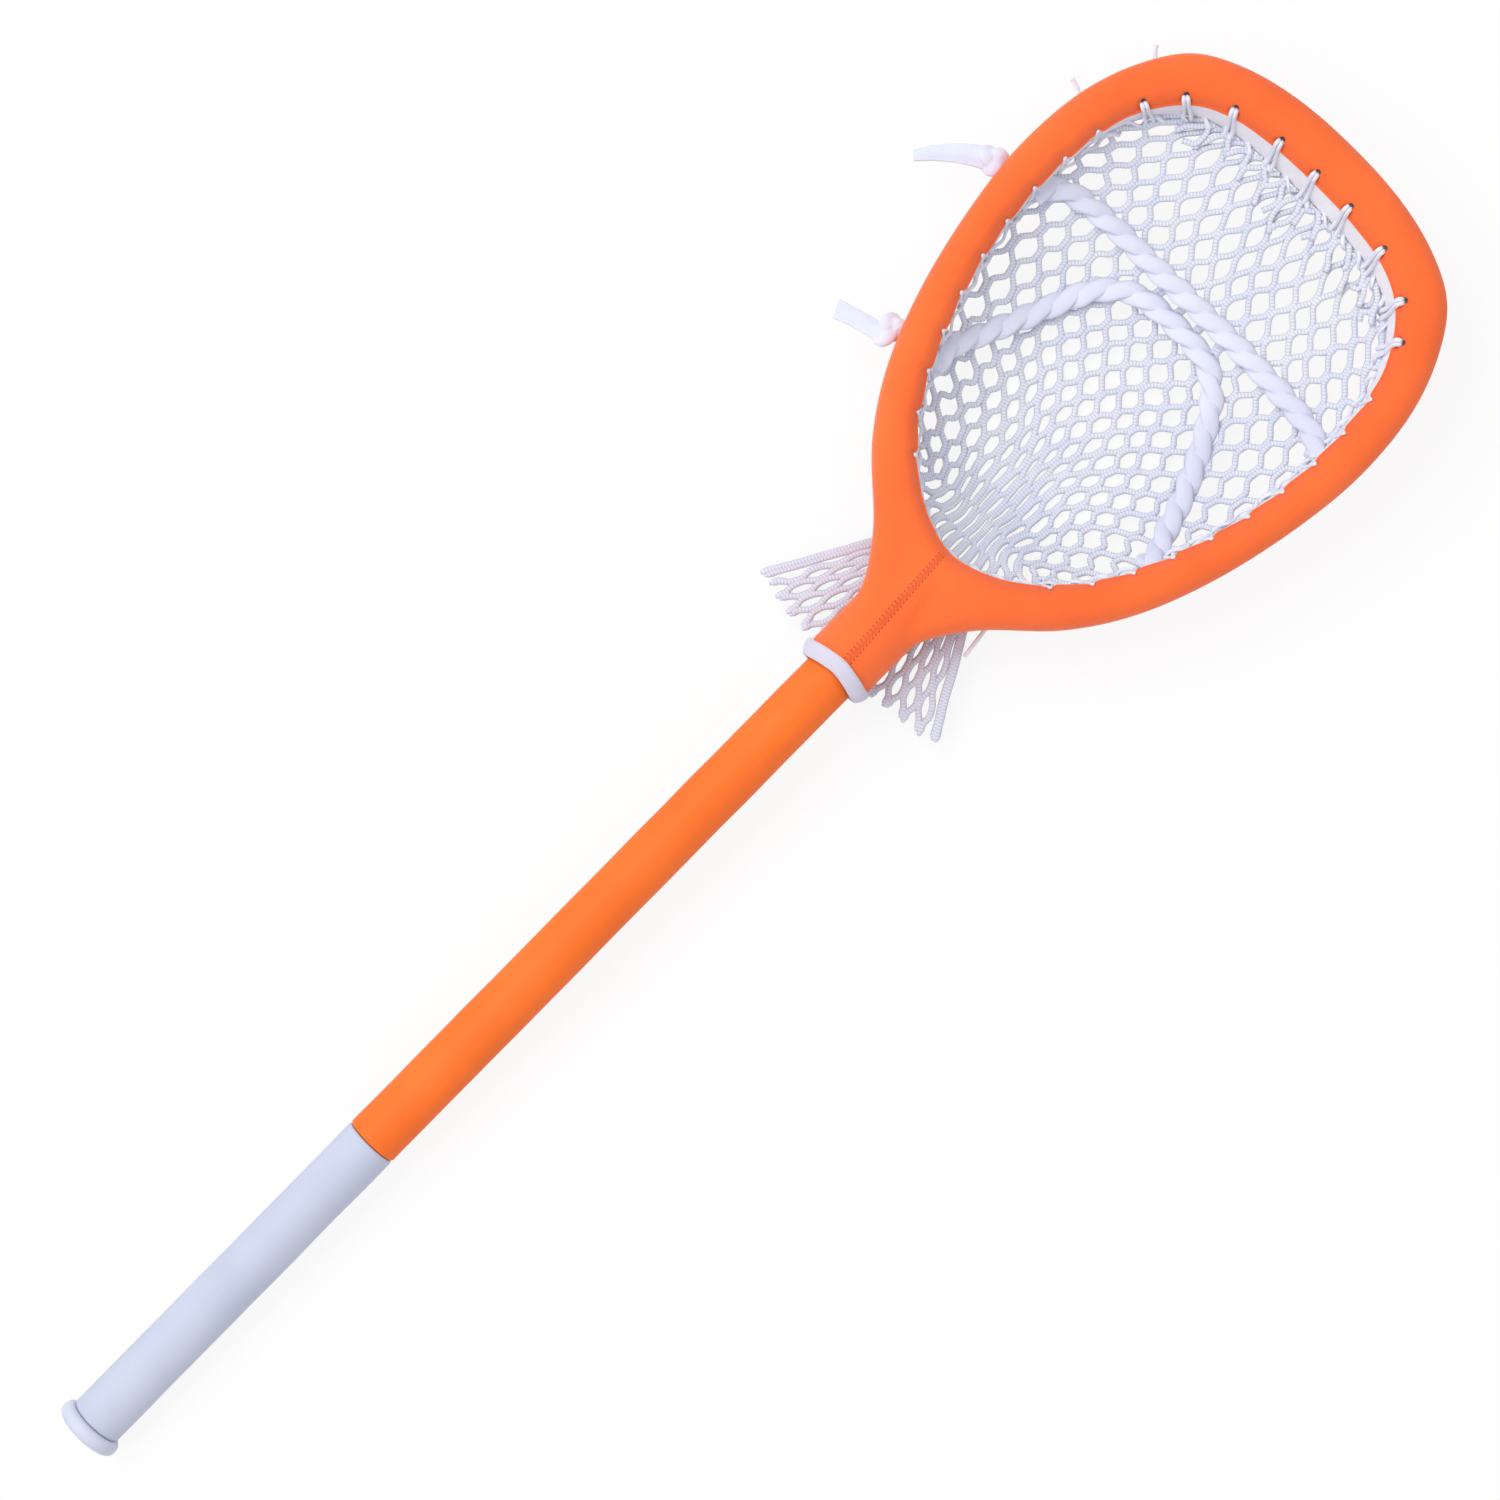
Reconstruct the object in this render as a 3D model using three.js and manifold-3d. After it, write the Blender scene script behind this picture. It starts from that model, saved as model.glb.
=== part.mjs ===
// Lacrosse goalie stick, lying on its back with the open side of the head up.
// Millimetres. The origin is the middle of the butt cap's end face. +Y runs up the handle to the
// scoop, +X is the right side seen from above and +Z is the open side of the pocket.

import * as THREE from 'three';
import { mergeVertices } from 'three/addons/utils/BufferGeometryUtils.js';
import Module from 'manifold-3d';

// Driving dimensions of the stick
const stickLength = 1050;
const headLength = 425;
const headWidth = 275;
const railWidth = 25;
const scoopWidth = 30.4;
const railHeight = 36;
const seatGap = 0.3;
const cutOverrun = 5;

// Butt cap
const capRadius = 20.3;
const capLength = 13;
const capFlatRadius = 15;
const capRound = 3.5;
const capLipDepth = 2;
const capBossLength = 28;
const capBossTaper = 0.6;

// Handle
const tubeRadius = 12.7;
const tubeWall = 1.6;
const tubeInSocket = 66;
const gripRadius = 16.5;
const gripEnd = 241;

// Head: cover, padding, frame and socket
const neckRadius = 22.25;
const coverThickness = 1.5;
const coverRoundWidth = 9.5;
const coverRoundHeight = 12;
const frameHeight = 14;
const frameEdgeRound = 3;
const socketLength = 74;
const collarHeight = 13;
const collarProud = 1.3;
const collarFlare = 1.2;
const seamWidth = 5;
const seamHeight = 0.9;

// Screw that holds the head on the handle, from behind under the cover
const screwSetback = 34;
const screwShankRadius = 2.1;
const screwHeadRadius = 4.2;
const screwHeadHeight = 2.4;
const screwRecess = 1;
const screwThreadDepth = 5;

// Lining band inside the hoop
const bandThickness = 1.2;
const bandHeight = 22;
const bandDrop = 1.5;
const bandLean = 3.5;

// Pocket
const pocketDepth = 44;
const restDrop = 27;
const netThickness = 3.2;
const netGapColumns = 21;
const netGapRows = 11;
const tailThickness = 2.6;
const tailGapColumns = 13;
const tailGapRows = 4;
const tailSpread = 77;
const tailRootSpread = 25;
const tailReach = 92;
const tailSag = 5;

// Laces and shooting strings
const laceRadius = 1.5;
const loopRadius = 1.7;
const loopHoleRadius = 3.2;
const loopHoleInset = 7;
const loopDip = 1.4;
const topLoopPitch = 29;
const stringRadius = 3;
const stringHoleDrop = 3;
const stringLift = 1.5;
const stringHoleGap = 0.5;
const stringSpan = 18;
const knotRadius = 6.5;
const stringTailWidth = 11;
const stringTailThickness = 2.2;
const upperTailLength = 46;
const lowerTailLength = 33;
const stringTailDrop = 7;
const thinLaceRadius = 1.3;
const thinEndLength = 24;
const throatEndLength = 38;

// Smoothness of the curved forms
const loopSteps = 48;
const turnSteps = 24;
const skinRoundSteps = 3;
const insideRoundSteps = 2;
const frameRoundSteps = 1;

// Half outlines from the handle up to the scoop, as shares of half the width and of the length:
// the outer one of the head, the inner one of its opening
const outerOutlineShares = [
  [0.13, 0.055], [0.145, 0.09], [0.192, 0.121], [0.311, 0.175], [0.568, 0.257], [0.737, 0.339],
  [0.871, 0.448], [0.968, 0.585], [1, 0.694], [0.966, 0.803], [0.87, 0.885], [0.746, 0.94],
  [0.552, 0.974], [0.303, 0.994], [0, 1],
];
const innerOutlineShares = [
  [0, 0], [0.17, 0.014], [0.36, 0.052], [0.574, 0.13], [0.709, 0.206], [0.882, 0.361], [0.977, 0.515],
  [1, 0.669], [0.943, 0.823], [0.838, 0.9], [0.708, 0.95], [0.537, 0.98], [0.31, 0.995], [0, 1],
];

// Places worked out from the driving dimensions
const headStart = stickLength - headLength;
const halfWidth = headWidth / 2;
const halfRail = railHeight / 2;
const throatEdgeShare = 0.22;
const throatEdge = headStart + throatEdgeShare * headLength;
const openingHalfWidth = halfWidth - railWidth;
const openingLength = stickLength - scoopWidth - throatEdge;
const coverStart = headStart + collarHeight / 2;
const socketRadius = neckRadius - coverThickness - seatGap;
const socketStart = coverStart - collarHeight / 2 - seatGap;
const socketEnd = socketStart + socketLength;
const tubeInnerRadius = tubeRadius - tubeWall;
const sleeveBore = tubeRadius + seatGap;
const sleeveEnd = socketStart - seatGap;

const wasm = await Module();
wasm.setup();

// A closed three.js geometry as a solid whose faces point out
function solid(geometry) {
  const bare = geometry.clone();
  bare.deleteAttribute('normal');
  bare.deleteAttribute('uv');
  const merged = mergeVertices(bare, 1e-4);
  const index = Uint32Array.from(merged.index.array);
  const position = merged.attributes.position;
  const corners = [0, 1, 2].map(() => new THREE.Vector3());
  let volume = 0;
  for (let face = 0; face < index.length; face += 3) {
    corners.forEach((corner, k) => corner.fromBufferAttribute(position, index[face + k]));
    volume += corners[0].dot(corners[1].clone().cross(corners[2]));
  }
  if (volume < 0) {
    for (let face = 0; face < index.length; face += 3) {
      [index[face], index[face + 1]] = [index[face + 1], index[face]];
    }
  }
  const vertProperties = Float32Array.from(position.array);
  return new wasm.Manifold(new wasm.Mesh({ numProp: 3, vertProperties, triVerts: index }));
}

// A solid as a geometry that a mesh can show
function geometryOf(body) {
  const mesh = body.getMesh();
  const geometry = new THREE.BufferGeometry();
  geometry.setAttribute('position', new THREE.BufferAttribute(Float32Array.from(mesh.vertProperties), 3));
  geometry.setIndex(new THREE.BufferAttribute(Uint32Array.from(mesh.triVerts), 1));
  geometry.computeVertexNormals();
  return geometry;
}

function unite(bodies) {
  return bodies.reduce((sum, body) => sum.add(body));
}

// A solid turned about the stick's axis, from pairs of radius and distance along the axis
function turned(profile, steps = turnSteps) {
  const points = profile.map(([radius, along]) => new THREE.Vector2(radius, along));
  points.push(points[0].clone());
  return solid(new THREE.LatheGeometry(points, steps));
}

function box(lowX, highX, lowY, highY, lowZ, highZ) {
  const geometry = new THREE.BoxGeometry(highX - lowX, highY - lowY, highZ - lowZ);
  geometry.translate((lowX + highX) / 2, (lowY + highY) / 2, (lowZ + highZ) / 2);
  return solid(geometry);
}

// A rope along a list of points, of round or flattened section
function rope(points, radius, sides, steps, halfThickness = radius) {
  const path = new THREE.CatmullRomCurve3(points, false, 'centripetal');
  const section = new THREE.Shape();
  for (let side = 0; side < sides; side += 1) {
    const angle = side / sides * 2 * Math.PI;
    const corner = [halfThickness * Math.cos(angle), radius * Math.sin(angle)];
    if (side === 0) section.moveTo(...corner);
    else section.lineTo(...corner);
  }
  const options = { steps, curveSegments: 1, bevelEnabled: false, extrudePath: path };
  return solid(new THREE.ExtrudeGeometry(section, options));
}

// The closed loop of points that half an outline stands for
function mirroredLoop(shares, reachAcross, start, reachAlong) {
  const right = shares.map(([across, along]) => (
    new THREE.Vector3(across * reachAcross, start + along * reachAlong, 0)));
  const left = right.filter((point) => point.x > 0).reverse()
    .map((point) => new THREE.Vector3(-point.x, point.y, 0));
  const curve = new THREE.CatmullRomCurve3([...right, ...left], true, 'centripetal');
  return curve.getSpacedPoints(loopSteps).slice(0, loopSteps)
    .map((point) => new THREE.Vector2(point.x, point.y));
}

const outerLoop = mirroredLoop(outerOutlineShares, halfWidth, headStart, headLength);
const innerLoop = mirroredLoop(innerOutlineShares, openingHalfWidth, throatEdge, openingLength);

// Place on the inner outline at a share of its length, counted from the throat to the right, moved
// towards the middle of the opening by a distance
function hoopPoint(share, inward) {
  const wrapped = ((share % 1) + 1) % 1;
  const place = wrapped * loopSteps;
  const first = Math.floor(place) % loopSteps;
  const weight = place - Math.floor(place);
  const corner = (k) => innerLoop[(k + loopSteps) % loopSteps];
  const normalAt = (k) => {
    const along = corner(k + 1).clone().sub(corner(k - 1)).normalize();
    return new THREE.Vector2(-along.y, along.x);
  };
  const normal = normalAt(first).lerp(normalAt(first + 1), weight).normalize();
  return corner(first).clone().lerp(corner(first + 1), weight).addScaledVector(normal, inward);
}

// The head's plate: the area between the two outlines, drawn in by an inset, with rounded edges
function headPlate(inset, halfHeight, roundWidth, roundHeight, roundSteps) {
  const shape = new THREE.Shape(outerLoop);
  shape.holes.push(new THREE.Path(innerLoop));
  const geometry = new THREE.ExtrudeGeometry(shape, {
    depth: 2 * (halfHeight - roundHeight),
    bevelThickness: roundHeight,
    bevelSize: roundWidth,
    bevelOffset: -roundWidth - inset,
    bevelSegments: roundSteps,
  });
  geometry.translate(0, 0, roundHeight - halfHeight);
  return solid(geometry);
}

// The padded plate of full height, drawn in on all sides by an inset
function paddedPlate(inset, roundSteps) {
  return headPlate(inset, halfRail - inset, coverRoundWidth - inset, coverRoundHeight - inset, roundSteps);
}

// The round neck that runs from the collar into the throat, drawn in by an inset
const neckProfileShares = [[1, 0], [1, 0.48], [0.95, 0.68], [0.83, 0.86], [0.6, 0.97]];
const neckLength = throatEdge - coverRoundWidth / 2 - coverStart;
function neck(inset, start) {
  const flank = neckProfileShares.map(([radius, along]) => (
    [radius * neckRadius - inset, coverStart + along * neckLength]));
  flank[0][1] = start;
  return turned([[0, start], ...flank, [0, flank[flank.length - 1][1]]]);
}

// Holes through the left side of the hoop where the shooting strings come out
const upperHoleShare = 0.654;
const lowerHoleShare = 0.384;
const upperHolePlace = headStart + upperHoleShare * headLength;
const lowerHolePlace = headStart + lowerHoleShare * headLength;
const stringHeight = -stringHoleDrop;
function loopCrossing(loop, along) {
  const side = loop.filter((point) => point.x < 0);
  const above = side.filter((point) => point.y >= along).sort((a, b) => a.y - b.y)[0];
  const below = side.filter((point) => point.y < along).sort((a, b) => b.y - a.y)[0];
  return below.clone().lerp(above, (along - below.y) / (above.y - below.y));
}
function stringHole(along, radius) {
  const inside = loopCrossing(innerLoop, along);
  const outside = loopCrossing(outerLoop, along);
  const length = inside.x - outside.x + 2 * cutOverrun;
  const cylinder = new THREE.CylinderGeometry(radius, radius, length, turnSteps / 2);
  cylinder.rotateZ(Math.PI / 2);
  cylinder.translate((inside.x + outside.x) / 2, along, stringHeight);
  return solid(cylinder);
}
const stringHoles = [upperHolePlace, lowerHolePlace]
  .map((along) => stringHole(along, stringRadius + stringHoleGap));

// Materials
const orangeCover = new THREE.MeshStandardMaterial({ color: '#ff7238', roughness: 0.85, metalness: 0 });
const orangeFoam = new THREE.MeshStandardMaterial({ color: '#ff8038', roughness: 0.7, metalness: 0 });
const whiteRubber = new THREE.MeshStandardMaterial({ color: '#e4e6ee', roughness: 0.6, metalness: 0 });
const whiteWebbing = new THREE.MeshStandardMaterial({ color: '#eceaf4', roughness: 0.85, metalness: 0 });
const whiteCord = new THREE.MeshStandardMaterial({ color: '#e6e8f4', roughness: 0.8, metalness: 0 });
const blackFoam = new THREE.MeshStandardMaterial({ color: '#2b2b2d', roughness: 0.9, metalness: 0 });
const framePlastic = new THREE.MeshStandardMaterial({ color: '#d9d9d6', roughness: 0.45, metalness: 0 });
const tubeMetal = new THREE.MeshStandardMaterial({ color: '#b9bcc0', roughness: 0.35, metalness: 1 });
const screwSteel = new THREE.MeshStandardMaterial({ color: '#8f9296', roughness: 0.3, metalness: 1 });

const stick = new THREE.Group();
function addPiece(name, body, material) {
  const piece = new THREE.Mesh(geometryOf(body), material);
  piece.name = name;
  stick.add(piece);
}

// Butt cap: a rounded flange with a flat end face, and a boss that plugs the tube
const bossRadius = tubeInnerRadius - seatGap;
const bossEnd = capLength + capBossLength;
addPiece('butt_cap', turned([
  [0, 0], [capFlatRadius, 0], [capRadius - capRound / 3, capRound / 3], [capRadius, capRound],
  [capRadius, capLength - capRound], [capRadius - capRound / 3, capLength - capRound / 3],
  [gripRadius, capLength - capLipDepth], [gripRadius - seatGap, capLength], [bossRadius, capLength],
  [bossRadius, bossEnd], [bossRadius - capBossTaper, bossEnd + capBossTaper],
  [0, bossEnd + capBossTaper],
]), whiteRubber);

// Handle: tube, white grip and orange foam sleeve
const handleStart = capLength + seatGap;
const tubeEnd = socketStart + tubeInSocket;
const screwPlace = socketStart + screwSetback;
function pipe(innerRadius, outerRadius, start, end) {
  return turned([[innerRadius, start], [outerRadius, start], [outerRadius, end], [innerRadius, end]]);
}
function screwHole(radius, fromZ, toZ) {
  const cylinder = new THREE.CylinderGeometry(radius, radius, toZ - fromZ, turnSteps / 2);
  cylinder.rotateX(Math.PI / 2);
  cylinder.translate(0, screwPlace, (fromZ + toZ) / 2);
  return solid(cylinder);
}
const screwTip = tubeInnerRadius - screwThreadDepth;
const screwClearance = screwHole(screwShankRadius + seatGap, -socketRadius - cutOverrun, -screwTip);
const tube = pipe(tubeInnerRadius, tubeRadius, handleStart, tubeEnd);
addPiece('handle_tube', tube.subtract(screwClearance), tubeMetal);
addPiece('grip_sleeve', pipe(sleeveBore, gripRadius, handleStart, gripEnd), whiteRubber);
addPiece('handle_sleeve', pipe(sleeveBore, gripRadius, gripEnd + seatGap, sleeveEnd), orangeFoam);

// Head frame: hoop plate with the socket for the tube
const plateInset = coverThickness + seatGap;
const halfFrame = frameHeight / 2;
const framePlate = headPlate(plateInset, halfFrame, frameEdgeRound, frameEdgeRound, frameRoundSteps)
  .subtract(box(-halfWidth, halfWidth, 0, coverStart + seatGap, -halfRail, halfRail));
const socketBore = pipe(0, sleeveBore, socketStart - cutOverrun, socketEnd - seatGap * 2);
const screwHeadTop = screwRecess + screwHeadHeight - socketRadius;
const screwSeat = screwHole(screwHeadRadius + seatGap, -socketRadius - cutOverrun, screwHeadTop + seatGap);
const frameCuts = unite([socketBore, screwClearance, screwSeat, ...stringHoles]);
addPiece('head_frame', framePlate.add(neck(plateInset, socketStart)).subtract(frameCuts), framePlastic);

// Screw from behind through socket and tube
const screwHead = screwHole(screwHeadRadius, screwRecess - socketRadius, screwHeadTop);
const screwShank = screwHole(screwShankRadius, screwRecess + seatGap - socketRadius, -screwTip - seatGap);
addPiece('head_screw', screwHead.add(screwShank), screwSteel);

// Foam padding on the front and back of the frame, open for the neck
const paddingRegion = paddedPlate(plateInset, insideRoundSteps);
const neckRoom = neck(coverThickness, 0).add(box(-halfWidth, halfWidth, 0, screwPlace, -halfRail, halfRail));
const frontHalf = box(-headWidth, headWidth, 0, stickLength, halfFrame + seatGap, railHeight);
const backHalf = box(-headWidth, headWidth, 0, stickLength, -railHeight, -halfFrame - seatGap);
const padding = paddingRegion.subtract(neckRoom);
addPiece('front_padding', padding.intersect(frontHalf), blackFoam);
addPiece('back_padding', padding.intersect(backHalf), blackFoam);

// Lining band: a thin ring whose lower edge leans into the opening
const bandTop = halfRail - coverRoundHeight + bandDrop;
const bandBottom = bandTop - bandHeight;
function bandFace(height) {
  return bandLean * (bandTop - height) / bandHeight;
}
function ringAlongHoop(profile) {
  const corners = [];
  for (let k = 0; k < loopSteps; k += 1) {
    profile.forEach(([inward, height]) => {
      const point = hoopPoint(k / loopSteps, inward);
      corners.push(point.x, point.y, height);
    });
  }
  const faces = [];
  const count = profile.length;
  for (let k = 0; k < loopSteps; k += 1) {
    const next = (k + 1) % loopSteps;
    for (let side = 0; side < count; side += 1) {
      const far = (side + 1) % count;
      const quad = [k * count + side, k * count + far, next * count + far, next * count + side];
      faces.push(quad[0], quad[1], quad[2], quad[0], quad[2], quad[3]);
    }
  }
  const geometry = new THREE.BufferGeometry();
  geometry.setAttribute('position', new THREE.Float32BufferAttribute(corners, 3));
  geometry.setIndex(faces);
  return solid(geometry);
}
const bandRing = ringAlongHoop([
  [bandFace(bandTop), bandTop], [bandFace(bandBottom), bandBottom],
  [bandFace(bandBottom) - bandThickness, bandBottom], [bandFace(bandTop) - bandThickness, bandTop],
]);
addPiece('inner_band', bandRing.subtract(unite(stringHoles)), whiteWebbing);

// Lacing holes in the cover, along the scoop
function topLoopShares() {
  const loopLength = innerLoop
    .reduce((sum, point, k) => sum + point.distanceTo(innerLoop[(k + 1) % loopSteps]), 0);
  const pitchShare = topLoopPitch / loopLength;
  return [-4, -3, -2, -1, 0, 1, 2, 3, 4].map((k) => 1 / 2 + k * pitchShare);
}
const lacingHoles = topLoopShares().map((share) => {
  const place = hoopPoint(share, -loopHoleInset);
  const depth = coverRoundHeight + cutOverrun;
  const cylinder = new THREE.CylinderGeometry(loopHoleRadius, loopHoleRadius, depth, turnSteps / 3);
  cylinder.rotateX(Math.PI / 2);
  cylinder.translate(place.x, place.y, halfRail - coverRoundHeight / 2 + cutOverrun / 2);
  return solid(cylinder);
});

// Head cover: one sewn skin round plate and neck, slit along the inside of the hoop for the band
// and open at the lower end of the neck
const coverSkin = paddedPlate(0, skinRoundSteps).add(neck(0, coverStart));
const neckInside = neck(coverThickness, coverStart - cutOverrun);
const coverInside = paddedPlate(coverThickness, insideRoundSteps).add(neckInside);
const bandSlit = ringAlongHoop([
  [bandLean + cutOverrun, bandTop + seatGap], [bandLean + cutOverrun, bandBottom - seatGap],
  [-coverThickness - seatGap * 2, bandBottom - seatGap], [-coverThickness - seatGap * 2, bandTop + seatGap],
]);
addPiece('head_cover', coverSkin.subtract(coverInside).subtract(bandSlit)
  .subtract(unite(lacingHoles)).subtract(unite(stringHoles)), orangeCover);

// Collar: the elastic hem that closes the cover round the handle, flared where it lets go
const collarStart = coverStart - seatGap - collarHeight;
const collarBore = socketRadius + seatGap;
const collarRadius = neckRadius + collarProud;
addPiece('throat_collar', turned([
  [collarBore, coverStart - seatGap], [collarBore, socketStart - seatGap],
  [gripRadius + seatGap, collarStart + collarFlare], [gripRadius + seatGap, collarStart],
  [collarRadius, collarStart], [collarRadius + collarFlare, collarStart + collarFlare],
  [collarRadius, collarStart + collarHeight / 2], [collarRadius - collarProud / 2, coverStart - seatGap],
]), whiteWebbing);

// Pocket surface. Across runs from -1 to 1 and along from 0 at the throat to 1 at the scoop; the
// four sides of the net follow the lower edge of the lining band.
const netInset = bandLean + seatGap;
const throatCornerShare = 0.042;
const scoopCornerShare = 0.39;
const deepestShare = 0.34;
const netRim = bandBottom + netThickness / 2;
function sidePoint(along) {
  return hoopPoint(throatCornerShare + (scoopCornerShare - throatCornerShare) * along, netInset);
}
function mirrored(point) {
  return new THREE.Vector2(-point.x, point.y);
}
function netPlan(across, along) {
  const right = (across + 1) / 2;
  const left = 1 - right;
  const low = hoopPoint(throatCornerShare * across, netInset);
  const high = hoopPoint(1 / 2 - (1 / 2 - scoopCornerShare) * across, netInset);
  const sides = mirrored(sidePoint(along)).multiplyScalar(left).addScaledVector(sidePoint(along), right);
  const ends = low.multiplyScalar(1 - along).addScaledVector(high, along);
  const corners = mirrored(sidePoint(0)).multiplyScalar(left * (1 - along))
    .addScaledVector(sidePoint(0), right * (1 - along))
    .addScaledVector(mirrored(sidePoint(1)), left * along)
    .addScaledVector(sidePoint(1), right * along);
  return sides.add(ends).sub(corners);
}

// Height of the pocket: it drops steeply from the throat, rises slowly to the scoop, and lies flat
// on the line that joins the butt cap's rim and the pocket's resting place
function restHeight(place) {
  return -capRadius - restDrop * place / pocketPlace;
}
const pocketPlace = netPlan(0, deepestShare).y;
function pocketHeight(across, along) {
  const reach = along < deepestShare ? along / deepestShare : (1 - along) / (1 - deepestShare);
  const swell = along < deepestShare ? Math.sin(reach * Math.PI / 2) : Math.sin(reach * Math.PI / 2) ** 2;
  const sag = pocketDepth * swell * (1 - across ** 2) ** 0.8;
  const lowest = restHeight(netPlan(across, along).y) + netThickness / 2;
  return Math.max(netRim - sag, lowest);
}
function netPoint(across, along, rise) {
  const plan = netPlan(across, along);
  return new THREE.Vector3(plan.x, plan.y, pocketHeight(across, along) + rise);
}

// A knitted sheet in units of across and along, as flat triangles: gaps stand in staggered rows, a
// cord lies between each two neighbours and a knot above each gap. Gaps outside the sheet shrink to
// a point of its edge, and at a cut end the last ones stay half open.
function knitSheet(columns, rows, gapWidthShare, gapHeightShare, cutEnd) {
  const columnStep = 2 / (columns + 1);
  const lastLevel = 2 * rows;
  const rowStep = 1 / (lastLevel + 1);
  function corner(across, along) {
    return new THREE.Vector2(
      THREE.MathUtils.clamp(across, -1, 1), THREE.MathUtils.clamp(along, 0, 1));
  }
  function gap(column, level) {
    const middle = -1 + columnStep * (column + 1);
    const height = rowStep * level;
    const onSheet = column >= 0 && column < columns;
    const open = onSheet && level > 0 && level <= lastLevel;
    const cut = onSheet && cutEnd && level === lastLevel + 1;
    const halfWide = open || cut ? columnStep * gapWidthShare(height) : 0;
    const halfHigh = open || cut || !onSheet ? rowStep * gapHeightShare : 0;
    return {
      left: corner(middle - halfWide, height),
      right: corner(middle + halfWide, height),
      low: corner(middle, height - halfHigh),
      high: corner(middle, height + halfHigh),
    };
  }
  const triangles = [];
  function addQuad(a, b, c, d) {
    for (const triangle of [[a, b, c], [a, c, d]]) {
      const [first, second, third] = triangle;
      const turn = second.clone().sub(first).cross(third.clone().sub(first));
      if (Math.abs(turn) > Number.EPSILON) triangles.push(triangle);
    }
  }
  for (let column = -1; column <= columns; column += 1) {
    for (let level = Math.abs(column) % 2 - 1; level <= lastLevel + 1; level += 2) {
      const here = gap(column, level);
      const toLeft = gap(column - 1, level + 1);
      const toRight = gap(column + 1, level + 1);
      addQuad(here.right, toRight.low, toRight.left, here.high);
      addQuad(here.left, here.high, toLeft.right, toLeft.low);
      addQuad(here.high, toRight.left, gap(column, level + 2).low, toLeft.right);
    }
  }
  return triangles;
}

// Flat triangles laid on a surface and given a thickness, with a wall along each free edge
function laidSheet(triangles, thickness, place) {
  const edgeName = (from, to) => [from.x, from.y, to.x, to.y].map((size) => size.toFixed(6)).join();
  const edges = new Map();
  for (const [a, b, c] of triangles) {
    for (const [from, to] of [[a, b], [b, c], [c, a]]) edges.set(edgeName(from, to), [from, to]);
  }
  const half = thickness / 2;
  const corners = [];
  for (const [a, b, c] of triangles) {
    corners.push(place(a.x, a.y, half), place(b.x, b.y, half), place(c.x, c.y, half));
    corners.push(place(a.x, a.y, -half), place(c.x, c.y, -half), place(b.x, b.y, -half));
  }
  for (const [from, to] of edges.values()) {
    if (edges.has(edgeName(to, from))) continue;
    const top = [place(from.x, from.y, half), place(to.x, to.y, half)];
    const foot = [place(from.x, from.y, -half), place(to.x, to.y, -half)];
    corners.push(foot[0], foot[1], top[1], foot[0], top[1], top[0]);
  }
  return solid(new THREE.BufferGeometry().setFromPoints(corners));
}
const throatGapShare = 0.42;
const scoopGapShare = 0.66;
const gapHeightShare = 0.82;
function netGapShare(along) {
  return throatGapShare + (scoopGapShare - throatGapShare) * Math.min(1, along * 2);
}
const netSheet = knitSheet(netGapColumns, netGapRows, netGapShare, gapHeightShare, false);
addPiece('pocket_net', laidSheet(netSheet, netThickness, netPoint), whiteCord);

// Surplus of the net: a fan behind the throat whose cut cords end beside the collar
const tailStart = throatEdge - seatGap;
const tailRootHeight = -halfRail - seatGap - tailThickness / 2;
const tailHeight = -neckRadius - seatGap - tailThickness / 2;
const tailDropShare = 0.2;
function tailPoint(across, along, rise) {
  const spread = tailRootSpread + (tailSpread - tailRootSpread) * along;
  const reach = tailReach * (1 - 0.1 * across ** 2);
  const drop = THREE.MathUtils.smoothstep(along, 0, tailDropShare);
  const height = tailRootHeight + (tailHeight - tailRootHeight) * drop - tailSag * along ** 2;
  return new THREE.Vector3(across * spread, tailStart - reach * along, height + rise);
}
const tailGapShare = 0.62;
const tailSheet = knitSheet(tailGapColumns, tailGapRows, () => tailGapShare, gapHeightShare, true);
addPiece('net_tail', laidSheet(tailSheet, tailThickness, tailPoint), whiteCord);

// Laces that bind the rim of the net to the lining band
const laceHeight = netRim + netThickness / 2 + seatGap + laceRadius;
const laceInset = bandFace(laceHeight) + seatGap + laceRadius;
const laceSides = 6;
const laceStepShare = 0.012;
const laceEndShare = 0.003;
const topLaceShare = 0.345;
function lacePath(fromShare, toShare) {
  const count = Math.round((toShare - fromShare) / laceStepShare);
  return Array.from({ length: count + 1 }, (unused, k) => {
    const point = hoopPoint(fromShare + (toShare - fromShare) * k / count, laceInset);
    return new THREE.Vector3(point.x, point.y, laceHeight);
  });
}
function lace(fromShare, toShare) {
  const path = lacePath(fromShare + laceEndShare, toShare - laceEndShare);
  return rope(path, laceRadius, laceSides, path.length - 1);
}
addPiece('throat_lace', lace(-throatCornerShare, throatCornerShare), whiteCord);
addPiece('right_side_lace', lace(throatCornerShare, topLaceShare), whiteCord);
addPiece('left_side_lace', lace(1 - topLaceShare, 1 - throatCornerShare), whiteCord);

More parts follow.
